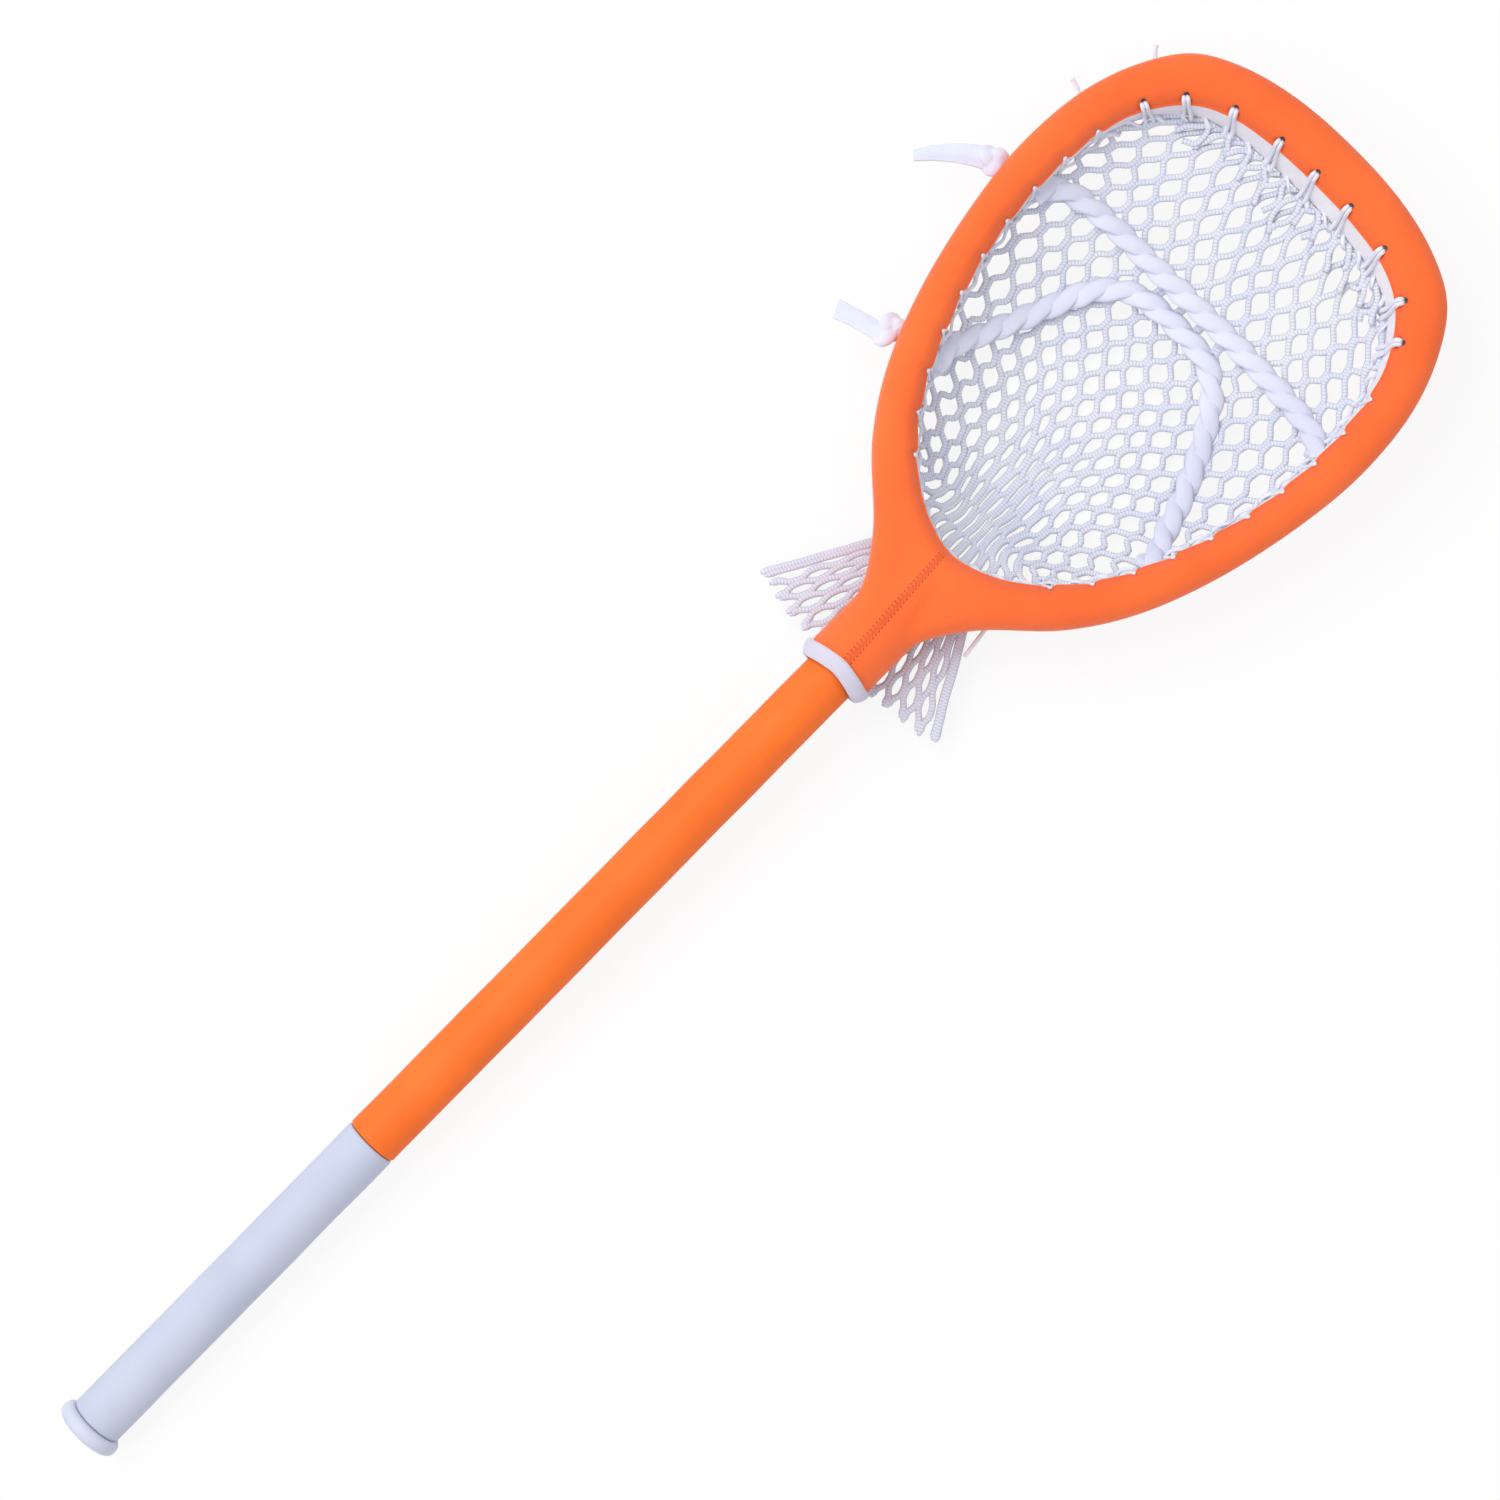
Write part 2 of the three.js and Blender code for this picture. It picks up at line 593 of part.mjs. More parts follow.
// Top lace: its loops climb the lining band, bend over the edge of the cover and dive into the
// lacing holes
const loopRopeSteps = 7;
const loopArcShares = [0, 0.28, 0.55, 0.72];
function topLoop(share) {
  const clear = seatGap + loopRadius;
  const foot = hoopPoint(share, laceInset);
  const points = [new THREE.Vector3(foot.x, foot.y, laceHeight)];
  const bendHeight = halfRail - coverRoundHeight;
  loopArcShares.forEach((arcShare) => {
    const angle = arcShare * Math.PI / 2;
    const inward = -coverRoundWidth + (coverRoundWidth + clear) * Math.cos(angle);
    const place = hoopPoint(share, inward);
    const rise = (coverRoundHeight + clear) * Math.sin(angle);
    points.push(new THREE.Vector3(place.x, place.y, bendHeight + rise));
  });
  const hole = hoopPoint(share, -loopHoleInset);
  points.push(new THREE.Vector3(hole.x, hole.y, halfRail - loopDip));
  return rope(points, loopRadius, laceSides, loopRopeSteps);
}
const topLace = lace(topLaceShare, 1 - topLaceShare);
addPiece('top_lace', unite([topLace, ...topLoopShares().map(topLoop)]), whiteCord);

// Shooting strings: ropes across the pocket that leave through the hoop's left side. Each route is
// a list of places across and along the net.
const upperRoute = [[-0.66, 0.684], [-0.35, 0.7], [0, 0.711], [0.35, 0.705], [0.66, 0.691]];
const lowerRoute = [[-0.7, 0.425], [-0.556, 0.509], [-0.427, 0.581], [-0.283, 0.627], [0, 0.641],
  [0.283, 0.627], [0.427, 0.581], [0.556, 0.509], [0.7, 0.425]];
const stringSides = 8;
const stringSteps = 40;
function shootingString(route, along) {
  const rise = netThickness / 2 + stringLift + stringRadius;
  const exit = loopCrossing(outerLoop, along);
  const entry = loopCrossing(innerLoop, along);
  const bend = entry.x + bandLean + stringSpan;
  const anchor = -entry.x - bandLean - seatGap * 2;
  const points = [
    new THREE.Vector3(exit.x, along, stringHeight),
    new THREE.Vector3((exit.x + entry.x) / 2, along, stringHeight),
    new THREE.Vector3(entry.x, along, stringHeight),
    new THREE.Vector3(bend, along, stringHeight),
    ...route.map(([across, place]) => netPoint(across, place, rise)),
    new THREE.Vector3(-bend, along, stringHeight),
    new THREE.Vector3(anchor, along, stringHeight),
  ];
  return rope(points, stringRadius, stringSides, stringSteps);
}
addPiece('upper_shooting_string', shootingString(upperRoute, upperHolePlace), whiteCord);
addPiece('lower_shooting_string', shootingString(lowerRoute, lowerHolePlace), whiteCord);

// Stop knots outside the left side of the hoop, each with the flat lace's free end
const upperTailTurn = THREE.MathUtils.degToRad(224);
const lowerTailTurn = THREE.MathUtils.degToRad(196);
const tailSteps = 5;
const knotHeightShare = 0.8;
function knotCentre(along) {
  const exit = loopCrossing(outerLoop, along);
  return new THREE.Vector3(exit.x - seatGap - knotRadius, along, stringHeight);
}
function knot(along) {
  const ball = new THREE.SphereGeometry(knotRadius, turnSteps / 2, turnSteps / 3);
  ball.scale(1, 1, knotHeightShare);
  const centre = knotCentre(along);
  ball.translate(centre.x, centre.y, centre.z);
  return solid(ball);
}
function stringTail(along, turn, length) {
  const vector = new THREE.Vector3(length * Math.cos(turn), length * Math.sin(turn), -stringTailDrop);
  const outward = vector.clone().normalize();
  const start = knotCentre(along).addScaledVector(outward, knotRadius + seatGap);
  const end = start.clone().add(vector);
  const middle = start.clone().lerp(end, 1 / 2);
  middle.z = start.z;
  return rope([start, middle, end], stringTailWidth / 2, stringSides, tailSteps, stringTailThickness / 2);
}
addPiece('upper_string_knot', knot(upperHolePlace), whiteCord);
addPiece('lower_string_knot', knot(lowerHolePlace), whiteCord);
addPiece('upper_string_tail', stringTail(upperHolePlace, upperTailTurn, upperTailLength), whiteCord);
addPiece('lower_string_tail', stringTail(lowerHolePlace, lowerTailTurn, lowerTailLength), whiteCord);

// Cut ends of the thin laces, which lie against the back of the cover and show past its edge
const laceEndHeight = -halfRail - seatGap - thinLaceRadius;
const laceEndTurnSteps = 3;
function laceEnd(name, side, alongShare, turn, length) {
  const edge = loopCrossing(outerLoop, headStart + alongShare * headLength);
  const middle = new THREE.Vector3(side * edge.x, edge.y, laceEndHeight);
  const outward = new THREE.Vector3(Math.cos(turn), Math.sin(turn), 0).multiplyScalar(length / 2);
  const start = middle.clone().sub(outward);
  const end = middle.clone().add(outward);
  addPiece(name, rope([start, middle, end], thinLaceRadius, laceSides, laceEndTurnSteps), whiteCord);
}
const scoopLaceShare = 0.905;
const sideLaceShare = 0.8;
const throatLaceShare = 0.183;
const scoopLaceTurn = THREE.MathUtils.degToRad(131);
const sideLaceTurn = THREE.MathUtils.degToRad(163);
const throatLaceTurn = THREE.MathUtils.degToRad(277);
laceEnd('scoop_lace_end', 1, scoopLaceShare, scoopLaceTurn, thinEndLength);
laceEnd('side_lace_end', 1, sideLaceShare, sideLaceTurn, thinEndLength);
laceEnd('throat_lace_end', -1, throatLaceShare, throatLaceTurn, throatEndLength);

// Overlocked seam down the middle of the throat
const seamFloor = neckProfileShares
  .map(([radius, along]) => [coverStart + along * neckLength, radius * neckRadius])
  .filter(([along, height]) => height > halfRail);
seamFloor.push([throatEdge - coverRoundWidth, halfRail]);
const seamSide = new THREE.Shape([
  ...seamFloor.map(([along, height]) => new THREE.Vector2(along, height + seatGap)),
  ...seamFloor.reverse().map(([along, height]) => new THREE.Vector2(along, height + seatGap + seamHeight)),
]);
const seam = new THREE.ExtrudeGeometry(seamSide, { depth: seamWidth, bevelEnabled: false });
seam.rotateX(Math.PI / 2);
seam.rotateZ(Math.PI / 2);
seam.translate(-seamWidth / 2, 0, 0);
addPiece('throat_seam', solid(seam), orangeCover);

export default stick;
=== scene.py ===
# %% [markdown]
# # A lacrosse goalie stick, dressed for a close look
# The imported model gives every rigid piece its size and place. This lesson lays the finished surfaces
# over it: a padded orange head, a knitted pocket, twisted shooting strings and a foam handle.
# All lengths are metres. +Y runs up the handle, +X is the right side and +Z faces the viewer. Random
# numbers and noise are seeded, the noise because its vectors otherwise change with the clock, so every
# run knits the same net.

# %% The fixed frame
import bmesh
import bpy
import math
import random
from mathutils import Matrix, Vector, kdtree, noise


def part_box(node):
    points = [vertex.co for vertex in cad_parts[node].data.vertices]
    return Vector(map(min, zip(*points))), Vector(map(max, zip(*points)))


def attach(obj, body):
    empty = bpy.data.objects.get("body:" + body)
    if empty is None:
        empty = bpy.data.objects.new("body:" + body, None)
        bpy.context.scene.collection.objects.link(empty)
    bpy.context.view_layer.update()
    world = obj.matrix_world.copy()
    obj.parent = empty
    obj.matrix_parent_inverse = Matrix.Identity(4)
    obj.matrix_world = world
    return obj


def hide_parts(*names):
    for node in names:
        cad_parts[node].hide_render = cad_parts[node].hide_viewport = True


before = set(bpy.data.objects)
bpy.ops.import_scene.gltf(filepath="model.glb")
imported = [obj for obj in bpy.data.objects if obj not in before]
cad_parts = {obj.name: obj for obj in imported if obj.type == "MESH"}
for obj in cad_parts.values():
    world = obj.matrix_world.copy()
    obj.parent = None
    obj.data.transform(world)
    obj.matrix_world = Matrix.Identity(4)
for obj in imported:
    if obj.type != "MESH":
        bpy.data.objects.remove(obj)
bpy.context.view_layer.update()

MM = 0.001
random.seed(7)
noise.seed_set(7)
print("nodes:", len(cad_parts))

# %% [markdown]
# ## Camera
# The stick is seen from straight above, turned so that the handle comes in from the lower left. The
# camera stands about two metres up, which fits the small part of the inner band that shows at the
# scoop. Its place above the stick and its turn were read from the photograph.

# %% Camera
CAMERA_HEIGHT = 2.05
VIEW_WIDTH = 0.870
VIEW_CENTRE = Vector((-0.003, 0.557, 0.0))
HANDLE_ANGLE = math.radians(44.56)
SENSOR_WIDTH = 36.0

camera_data = bpy.data.cameras.new("view_camera")
camera_data.sensor_width = SENSOR_WIDTH
camera_data.lens = SENSOR_WIDTH * CAMERA_HEIGHT / VIEW_WIDTH
camera = bpy.data.objects.new("view_camera", camera_data)
camera.location = VIEW_CENTRE + Vector((0, 0, CAMERA_HEIGHT))
camera.rotation_euler = (0, 0, HANDLE_ANGLE)
bpy.context.scene.collection.objects.link(camera)
bpy.context.scene.camera = camera
print("lens: %.1f mm" % camera_data.lens)

# %% [markdown]
# ## Floor
# The stick lies on its back: the butt cap's rim and the bottom of the pocket touch the floor, so the
# floor is a plane through both. To the camera it glows almost white, and the rest of it is a plain
# matt surface that takes the stick's shadow. The glow also shows in glossy and transmission rays, so
# it appears in the stick's reflections but puts no diffuse light on it.

# %% Floor
BUTT_DROP = -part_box("butt_cap")[0][2]
POCKET_DROP = -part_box("pocket_net")[0][2]
POCKET_PLACE = 0.811
FLOOR_SIZE = 6.0
FLOOR_GAP = 0.6 * MM
FLOOR_GLOW = 0.86


def floor_height(along):
    """Height of the floor under a place along the stick."""
    return -BUTT_DROP - FLOOR_GAP - (POCKET_DROP - BUTT_DROP) * along / POCKET_PLACE


def new_material(name, colour, roughness, sheen=0.0):
    """A plain principled material and the nodes that its pattern builds on."""
    material = bpy.data.materials.new(name)
    material.use_nodes = True
    shader = material.node_tree.nodes["Principled BSDF"]
    shader.inputs["Base Color"].default_value = (*colour, 1)
    shader.inputs["Roughness"].default_value = roughness
    shader.inputs["Sheen Weight"].default_value = sheen
    shader.inputs["Sheen Roughness"].default_value = 0.5
    return material, material.node_tree, shader


def add_node(tree, kind, **values):
    """A shader node with its unlinked inputs set by name."""
    node = tree.nodes.new(kind)
    for name, value in values.items():
        node.inputs[name.replace("_", " ")].default_value = value
    return node


bm = bmesh.new()
bmesh.ops.create_grid(bm, x_segments=1, y_segments=1, size=FLOOR_SIZE)
for corner in bm.verts:
    corner.co.z = floor_height(corner.co.y)
floor_mesh = bpy.data.meshes.new("floor")
bm.to_mesh(floor_mesh)
bm.free()
floor = bpy.data.objects.new("floor", floor_mesh)
bpy.context.scene.collection.objects.link(floor)

floor_material, tree, shader = new_material("pale_floor", (0.9, 0.9, 0.9), 0.9)
seen = add_node(tree, "ShaderNodeLightPath")
glow = add_node(tree, "ShaderNodeEmission", Color=(1, 1, 1, 1), Strength=1.0)
blend = add_node(tree, "ShaderNodeMixShader")
seen_rays = seen.outputs["Is Camera Ray"]
for kind in ("Is Glossy Ray", "Is Transmission Ray"):
    either = add_node(tree, "ShaderNodeMath")
    either.operation = "MAXIMUM"
    tree.links.new(seen_rays, either.inputs[0])
    tree.links.new(seen.outputs[kind], either.inputs[1])
    seen_rays = either.outputs[0]
share = add_node(tree, "ShaderNodeMath")
share.operation = "MULTIPLY"
share.inputs[1].default_value = FLOOR_GLOW
tree.links.new(seen_rays, share.inputs[0])
tree.links.new(share.outputs[0], blend.inputs[0])
tree.links.new(shader.outputs[0], blend.inputs[1])
tree.links.new(glow.outputs[0], blend.inputs[2])
tree.links.new(blend.outputs[0], tree.nodes["Material Output"].inputs["Surface"])
floor_mesh.materials.append(floor_material)
print("floor under the butt and the pocket: %.1f and %.1f mm" % (
    floor_height(0) / MM, floor_height(POCKET_PLACE) / MM))

# %% [markdown]
# ## Lamps and sky
# An even sky lights every side. A large soft lamp on the left gives the handle its bright and its
# dark flank, and two weak ones fill from the right and from the foot. The view transform is the
# plain one, so a colour renders about as it is written.

# %% Lamps and sky
SKY_STRENGTH = 0.7
LAMP_TARGET = Vector((0, 0.6, 0))
LAMPS = [
    ("left_lamp", (-1.25, 0.55, 1.9), 1.6, 27),
    ("right_lamp", (1.6, 0.7, 2.0), 1.8, 2),
    ("foot_lamp", (-0.5, -0.5, 1.5), 1.2, 5),
]

world = bpy.data.worlds.new("soft_sky")
bpy.context.scene.world = world
world.use_nodes = True
sky = world.node_tree.nodes["Background"]
sky.inputs["Color"].default_value = (1, 1, 1, 1)
sky.inputs["Strength"].default_value = SKY_STRENGTH


def soft_lamp(name, place, size, power):
    """A square area lamp that faces the head of the stick."""
    lamp = bpy.data.lights.new(name, "AREA")
    lamp.size = size
    lamp.energy = power
    holder = bpy.data.objects.new(name, lamp)
    holder.location = place
    holder.rotation_euler = (LAMP_TARGET - Vector(place)).to_track_quat("-Z", "Y").to_euler()
    bpy.context.scene.collection.objects.link(holder)


for name, place, size, power in LAMPS:
    soft_lamp(name, place, size, power)
bpy.context.scene.view_settings.view_transform = "Standard"
print("lamps:", len(LAMPS))

# %% [markdown]
# ## Outlines of the head
# The head's outer edge and its opening are smooth closed curves. Both are given by a few points of
# their right half, as shares of half the width and of the length, and mirrored. The curve through
# them is a Catmull-Rom spline, resampled at even steps, so that later pieces can walk along it.

# %% Outlines of the head
STICK_LENGTH = 1050 * MM
HEAD_LENGTH = 425 * MM
HEAD_WIDTH = 275 * MM
RAIL_WIDTH = 25 * MM
SCOOP_WIDTH = 30.4 * MM
RAIL_HEIGHT = 36 * MM
THROAT_EDGE_SHARE = 0.22
OUTER_SHARES = [
    (0.13, 0.055), (0.145, 0.09), (0.192, 0.121), (0.311, 0.175), (0.568, 0.257), (0.737, 0.339),
    (0.871, 0.448), (0.968, 0.585), (1, 0.694), (0.966, 0.803), (0.87, 0.885), (0.746, 0.94),
    (0.552, 0.974), (0.303, 0.994), (0, 1),
]
INNER_SHARES = [
    (0, 0), (0.17, 0.014), (0.36, 0.052), (0.574, 0.13), (0.709, 0.206), (0.882, 0.361), (0.977, 0.515),
    (1, 0.669), (0.943, 0.823), (0.838, 0.9), (0.708, 0.95), (0.537, 0.98), (0.31, 0.995), (0, 1),
]
LOOP_STEPS = 480
HEAD_START = STICK_LENGTH - HEAD_LENGTH
THROAT_EDGE = HEAD_START + THROAT_EDGE_SHARE * HEAD_LENGTH
HALF_WIDTH = HEAD_WIDTH / 2
HALF_RAIL = RAIL_HEIGHT / 2
OPENING_HALF_WIDTH = HALF_WIDTH - RAIL_WIDTH
OPENING_LENGTH = STICK_LENGTH - SCOOP_WIDTH - THROAT_EDGE
print("opening: %.0f by %.0f mm" % (2 * OPENING_HALF_WIDTH / MM, OPENING_LENGTH / MM))

# %% [markdown]
# ## Smooth lines
# Three helpers are used for every curve of this lesson. One finds a point on the spline, one walks a
# line in equal steps, and one does both for a list of corners. The knots of the spline are spaced by
# the square root of the distances, which keeps it from looping where corners lie close together.

# %% Smooth lines
SPAN_KNOTS = [((0, 1), (1, 2), (2, 3)), ((0, 2), (1, 3)), ((1, 2),)]
SPAN_STEPS = 40


def spline_point(corners, share):
    """A point on the middle span of four corners, with knots a square root of their spacing apart."""
    knots = [0.0]
    for start, end in zip(corners, corners[1:]):
        knots.append(knots[-1] + math.sqrt((end - start).length))
    place = knots[1] + (knots[2] - knots[1]) * share
    for spans in SPAN_KNOTS:
        corners = [
            low.lerp(high, (place - knots[first]) / (knots[last] - knots[first]))
            for (first, last), low, high in zip(spans, corners, corners[1:])
        ]
    return corners[0]


def even_steps(line, steps, closed):
    """The same line, walked in equal steps."""
    ring = line + line[:1] if closed else line
    reached = [0.0]
    for start, end in zip(ring, ring[1:]):
        reached.append(reached[-1] + (end - start).length)
    count = steps if closed else steps + 1
    found, k = [], 0
    for step in range(count):
        goal = reached[-1] * step / steps
        while k < len(ring) - 2 and reached[k + 1] < goal:
            k += 1
        found.append(ring[k].lerp(ring[k + 1], (goal - reached[k]) / (reached[k + 1] - reached[k])))
    return found


def smooth_line(corners, steps, closed=False):
    """A smooth line through the corners, in equal steps."""
    if closed:
        spans = [[corners[(k + n) % len(corners)] for n in (-1, 0, 1, 2)] for k in range(len(corners))]
    else:
        ends = [2 * corners[0] - corners[1], *corners, 2 * corners[-1] - corners[-2]]
        spans = [ends[k:k + 4] for k in range(len(corners) - 1)]
    line = [spline_point(span, step / SPAN_STEPS) for span in spans for step in range(SPAN_STEPS)]
    return even_steps(line if closed else line + [corners[-1]], steps, closed)


def mirrored_outline(shares, half_width, start, length):
    """A closed loop from its right half, which runs from the throat to the middle of the scoop."""
    right = [Vector((across * half_width, start + along * length, 0)) for across, along in shares]
    left = [Vector((-place.x, place.y, 0)) for place in reversed(right) if place.x > 0]
    return smooth_line(right + left, LOOP_STEPS, closed=True)


print("smooth lines ready")

# %% [markdown]
# ## Loops round the head
# Both outlines become closed loops of points. A place beside the opening is then given by its share
# of the way round, its distance from the wall and its height, and nearly every piece uses that.

# %% Loops round the head
OUTER_LOOP = mirrored_outline(OUTER_SHARES, HALF_WIDTH, HEAD_START, HEAD_LENGTH)
INNER_LOOP = mirrored_outline(INNER_SHARES, OPENING_HALF_WIDTH, THROAT_EDGE, OPENING_LENGTH)
INNER_LENGTH = sum((b - a).length for a, b in zip(INNER_LOOP, INNER_LOOP[1:] + INNER_LOOP[:1]))


def hoop_point(share, inward=0.0, height=0.0):
    """A place beside the opening's edge: 0 is the throat, 0.5 the scoop, inward is off the wall."""
    place = share % 1 * LOOP_STEPS
    k = int(place) % LOOP_STEPS
    here, after = INNER_LOOP[k], INNER_LOOP[(k + 1) % LOOP_STEPS]
    along = (INNER_LOOP[(k + 2) % LOOP_STEPS] - INNER_LOOP[k - 1]).normalized()
    edge = here.lerp(after, place - int(place))
    return Vector((edge.x - along.y * inward, edge.y + along.x * inward, height))


print("opening edge: %.0f mm round" % (INNER_LENGTH / MM))

# %% [markdown]
# ## Tools for finishes
# Every finish is a principled shader with a broad, faint change of tone and a fine relief. The relief
# of cloth is the sum of fine waves along the object's own axes, so it needs no unwrapping and stays
# still on the part. Foam and rubber get a grain instead.

# %% Tools for finishes
WAVE_PERIOD_FACTOR = 0.314
TONE_SIZE = 60 * MM


def srgb(red, green, blue):
    """Eight-bit screen values as the linear colour that the shader needs."""
    return tuple(
        value / 255 / 12.92 if value <= 10 else ((value / 255 + 0.055) / 1.055) ** 2.4
        for value in (red, green, blue)
    )


def object_place(tree):
    """The place on the object, for patterns that stay on it."""
    return add_node(tree, "ShaderNodeTexCoord").outputs["Object"]


def weave_height(tree, period):
    """Relief of a fine knit or weave: crossed waves of one period, in metres."""
    place = object_place(tree)
    height = None
    for direction in ("X", "Y", "Z"):
        wave = add_node(tree, "ShaderNodeTexWave", Scale=WAVE_PERIOD_FACTOR / period, Distortion=0.4)
        wave.bands_direction = direction
        tree.links.new(place, wave.inputs["Vector"])
        if height is None:
            height = wave.outputs["Fac"]
            continue
        total = add_node(tree, "ShaderNodeMath")
        total.operation = "ADD"
        tree.links.new(height, total.inputs[0])
        tree.links.new(wave.outputs["Fac"], total.inputs[1])
        height = total.outputs[0]
    return height


def grain_height(tree, size):
    """Relief of foam or rubber: fine noise of one grain size, in metres."""
    noise_node = add_node(tree, "ShaderNodeTexNoise", Scale=1 / size, Detail=3.0, Roughness=0.6)
    tree.links.new(object_place(tree), noise_node.inputs["Vector"])
    return noise_node.outputs["Fac"]


def add_relief(tree, shader, height, depth, strength=1.0):
    """Bump of the given depth, on top of what the shader already has."""
    bump = add_node(tree, "ShaderNodeBump", Strength=strength, Distance=depth)
    tree.links.new(height, bump.inputs["Height"])
    if shader.inputs["Normal"].is_linked:
        tree.links.new(shader.inputs["Normal"].links[0].from_socket, bump.inputs["Normal"])
    tree.links.new(bump.outputs["Normal"], shader.inputs["Normal"])


def vary_tone(tree, shader, dark, light, size=TONE_SIZE):
    """Base colour that drifts between two tones over the surface."""
    noise_node = add_node(tree, "ShaderNodeTexNoise", Scale=1 / size, Detail=2.0)
    tree.links.new(object_place(tree), noise_node.inputs["Vector"])
    ramp = add_node(tree, "ShaderNodeValToRGB")
    ramp.color_ramp.elements[0].position = 0.3
    ramp.color_ramp.elements[1].position = 0.7
    ramp.color_ramp.elements[0].color = (*dark, 1)
    ramp.color_ramp.elements[1].color = (*light, 1)
    tree.links.new(noise_node.outputs["Fac"], ramp.inputs["Fac"])
    tree.links.new(ramp.outputs["Color"], shader.inputs["Base Color"])
    return ramp.outputs["Color"]


def cloth(name, dark, light, period, depth, roughness=0.85, sheen=0.15):
    """A knit or woven finish."""
    material, tree, shader = new_material(name, light, roughness, sheen)
    vary_tone(tree, shader, dark, light)
    add_relief(tree, shader, weave_height(tree, period), depth)
    return material


def foam(name, dark, light, grain, depth, roughness=0.6):
    """A finish of closed-cell foam or rubber."""
    material, tree, shader = new_material(name, light, roughness)
    shader.inputs["Specular IOR Level"].default_value = 0.25
    vary_tone(tree, shader, dark, light)
    add_relief(tree, shader, grain_height(tree, grain), depth)
    return material


print("finish tools ready")

# %% [markdown]
# ## Tools for shapes
# Two helpers make most pieces. A spun solid starts as a few vertices of half a section and is turned
# round the handle's axis. A laid grid starts as a flat grid whose vertices are then moved onto a
# surface, which suits strips and sleeves that follow the head's outline.

# %% Tools for shapes
MERGE_DISTANCE = 0.00001


def finish_mesh(name, bm, material, smooth=True):
    """A mesh object on the root body from a bmesh, with its doubles merged and its faces outwards."""
    bmesh.ops.remove_doubles(bm, verts=bm.verts, dist=MERGE_DISTANCE)
    bmesh.ops.recalc_face_normals(bm, faces=bm.faces)
    mesh = bpy.data.meshes.new(name)
    bm.to_mesh(mesh)
    bm.free()
    for face in mesh.polygons:
        face.use_smooth = smooth
    return place_piece(name, mesh, material)


def place_piece(name, data, material):
    """An object for a finished mesh or curve, riding on the root body."""
    piece = bpy.data.objects.new(name, data)
    bpy.context.scene.collection.objects.link(piece)
    data.materials.append(material)
    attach(piece, "root")
    return piece


def spin_profile(bm, profile, steps, centre=(0, 0)):
    """Turns (radius, place along Y) pairs into a skin round the Y axis."""
    verts = [bm.verts.new((centre[0] + radius, along, centre[1])) for radius, along in profile]
    edges = [bm.edges.new(pair) for pair in zip(verts, verts[1:])]
    bmesh.ops.spin(
        bm, geom=verts + edges, cent=(centre[0], 0, centre[1]), axis=(0, 1, 0), angle=2 * math.pi,
        steps=steps, use_merge=True,
    )


def spun_solid(name, profile, steps, material):
    """A solid of revolution from a closed half section."""
    bm = bmesh.new()
    spin_profile(bm, profile + profile[:1], steps)
    return finish_mesh(name, bm, material)


def lay_grid(bm, columns, rows, place):
    """Adds a grid and moves each vertex to place(across, along), both from 0 to 1."""
    grid = bmesh.ops.create_grid(bm, x_segments=columns, y_segments=rows, size=0.5)
    for vert in grid["verts"]:
        vert.co = place(vert.co.x + 0.5, vert.co.y + 0.5)
    return grid["verts"]


print("tools ready")

# %% [markdown]
# ## Handle
# A light tube wears two foam sleeves: orange above, white for the grip below, and a rubber cap over
# the butt. Each sleeve is a skin of revolution with softly rounded ends. The foam yields a little,
# so the orange sleeve swells by a fraction of a millimetre here and there instead of being ruled.

# %% Handle sleeves
SLEEVE_STEPS = 96
SLEEVE_ROUND = 1.6 * MM
SLEEVE_SWELL = 0.25 * MM
SLEEVE_SECTION = 4 * MM
TUBE_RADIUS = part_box("handle_tube")[1][0]
GRIP_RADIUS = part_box("grip_sleeve")[1][0]

cover_orange = cloth("cover_orange", srgb(243, 101, 39), srgb(252, 111, 46), 0.9 * MM, 0.05 * MM)
sleeve_orange = foam("sleeve_orange", srgb(240, 108, 34), srgb(248, 116, 40), 0.5 * MM, 0.02 * MM)
grip_white = foam("grip_white", srgb(184, 190, 212), srgb(195, 200, 218), 0.5 * MM, 0.02 * MM)


def sleeve_profile(inner, outer, start, end, round_size):
    """Half section of a sleeve: a straight bore, rounded lips and an outside in short steps."""
    profile = [(inner, start), (inner, end)]
    lip = [(math.sin(k * math.pi / 8), math.cos(k * math.pi / 8)) for k in range(5)]
    profile += [(outer - round_size * (1 - out), end - round_size * (1 - on)) for out, on in lip]
    steps = max(1, int((end - start - 2 * round_size) / SLEEVE_SECTION))
    for k in range(1, steps):
        profile.append((outer, end - round_size - (end - start - 2 * round_size) * k / steps))
    profile += [(outer - round_size * (1 - out), start + round_size * (1 - on))
                for out, on in reversed(lip)]
    return profile


def make_sleeve(name, node, material):
    """A foam sleeve in a CAD node's place."""
    low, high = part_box(node)
    profile = sleeve_profile(TUBE_RADIUS + 0.2 * MM, high[0], low[1], high[1], SLEEVE_ROUND)
    sleeve = spun_solid(name, profile, SLEEVE_STEPS, material)
    for vert in sleeve.data.vertices:
        radius = math.hypot(vert.co.x, vert.co.z)
        if radius > high[0] - SLEEVE_ROUND:
            swell = 1 + SLEEVE_SWELL * noise.noise(vert.co / (30 * MM)) / radius
            vert.co.x *= swell
            vert.co.z *= swell
    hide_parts(node)
    return sleeve


handle_foam = make_sleeve("handle_foam", "handle_sleeve", sleeve_orange)
grip_foam = make_sleeve("grip_foam", "grip_sleeve", grip_white)
print("sleeve faces:", len(handle_foam.data.polygons), len(grip_foam.data.polygons))

# %% [markdown]
# ## Butt cap
# A rubber plug closes the tube. Its flange stands a little prouder than the grip, with generous rounds
# on both rims and a slightly dished end, so that the stick stands on the outer ring. The section runs
# from the middle of the end, round the flange and down the plug that sits in the tube. The flange
# looks short on the real stick, so its end is tucked in by a few millimetres.

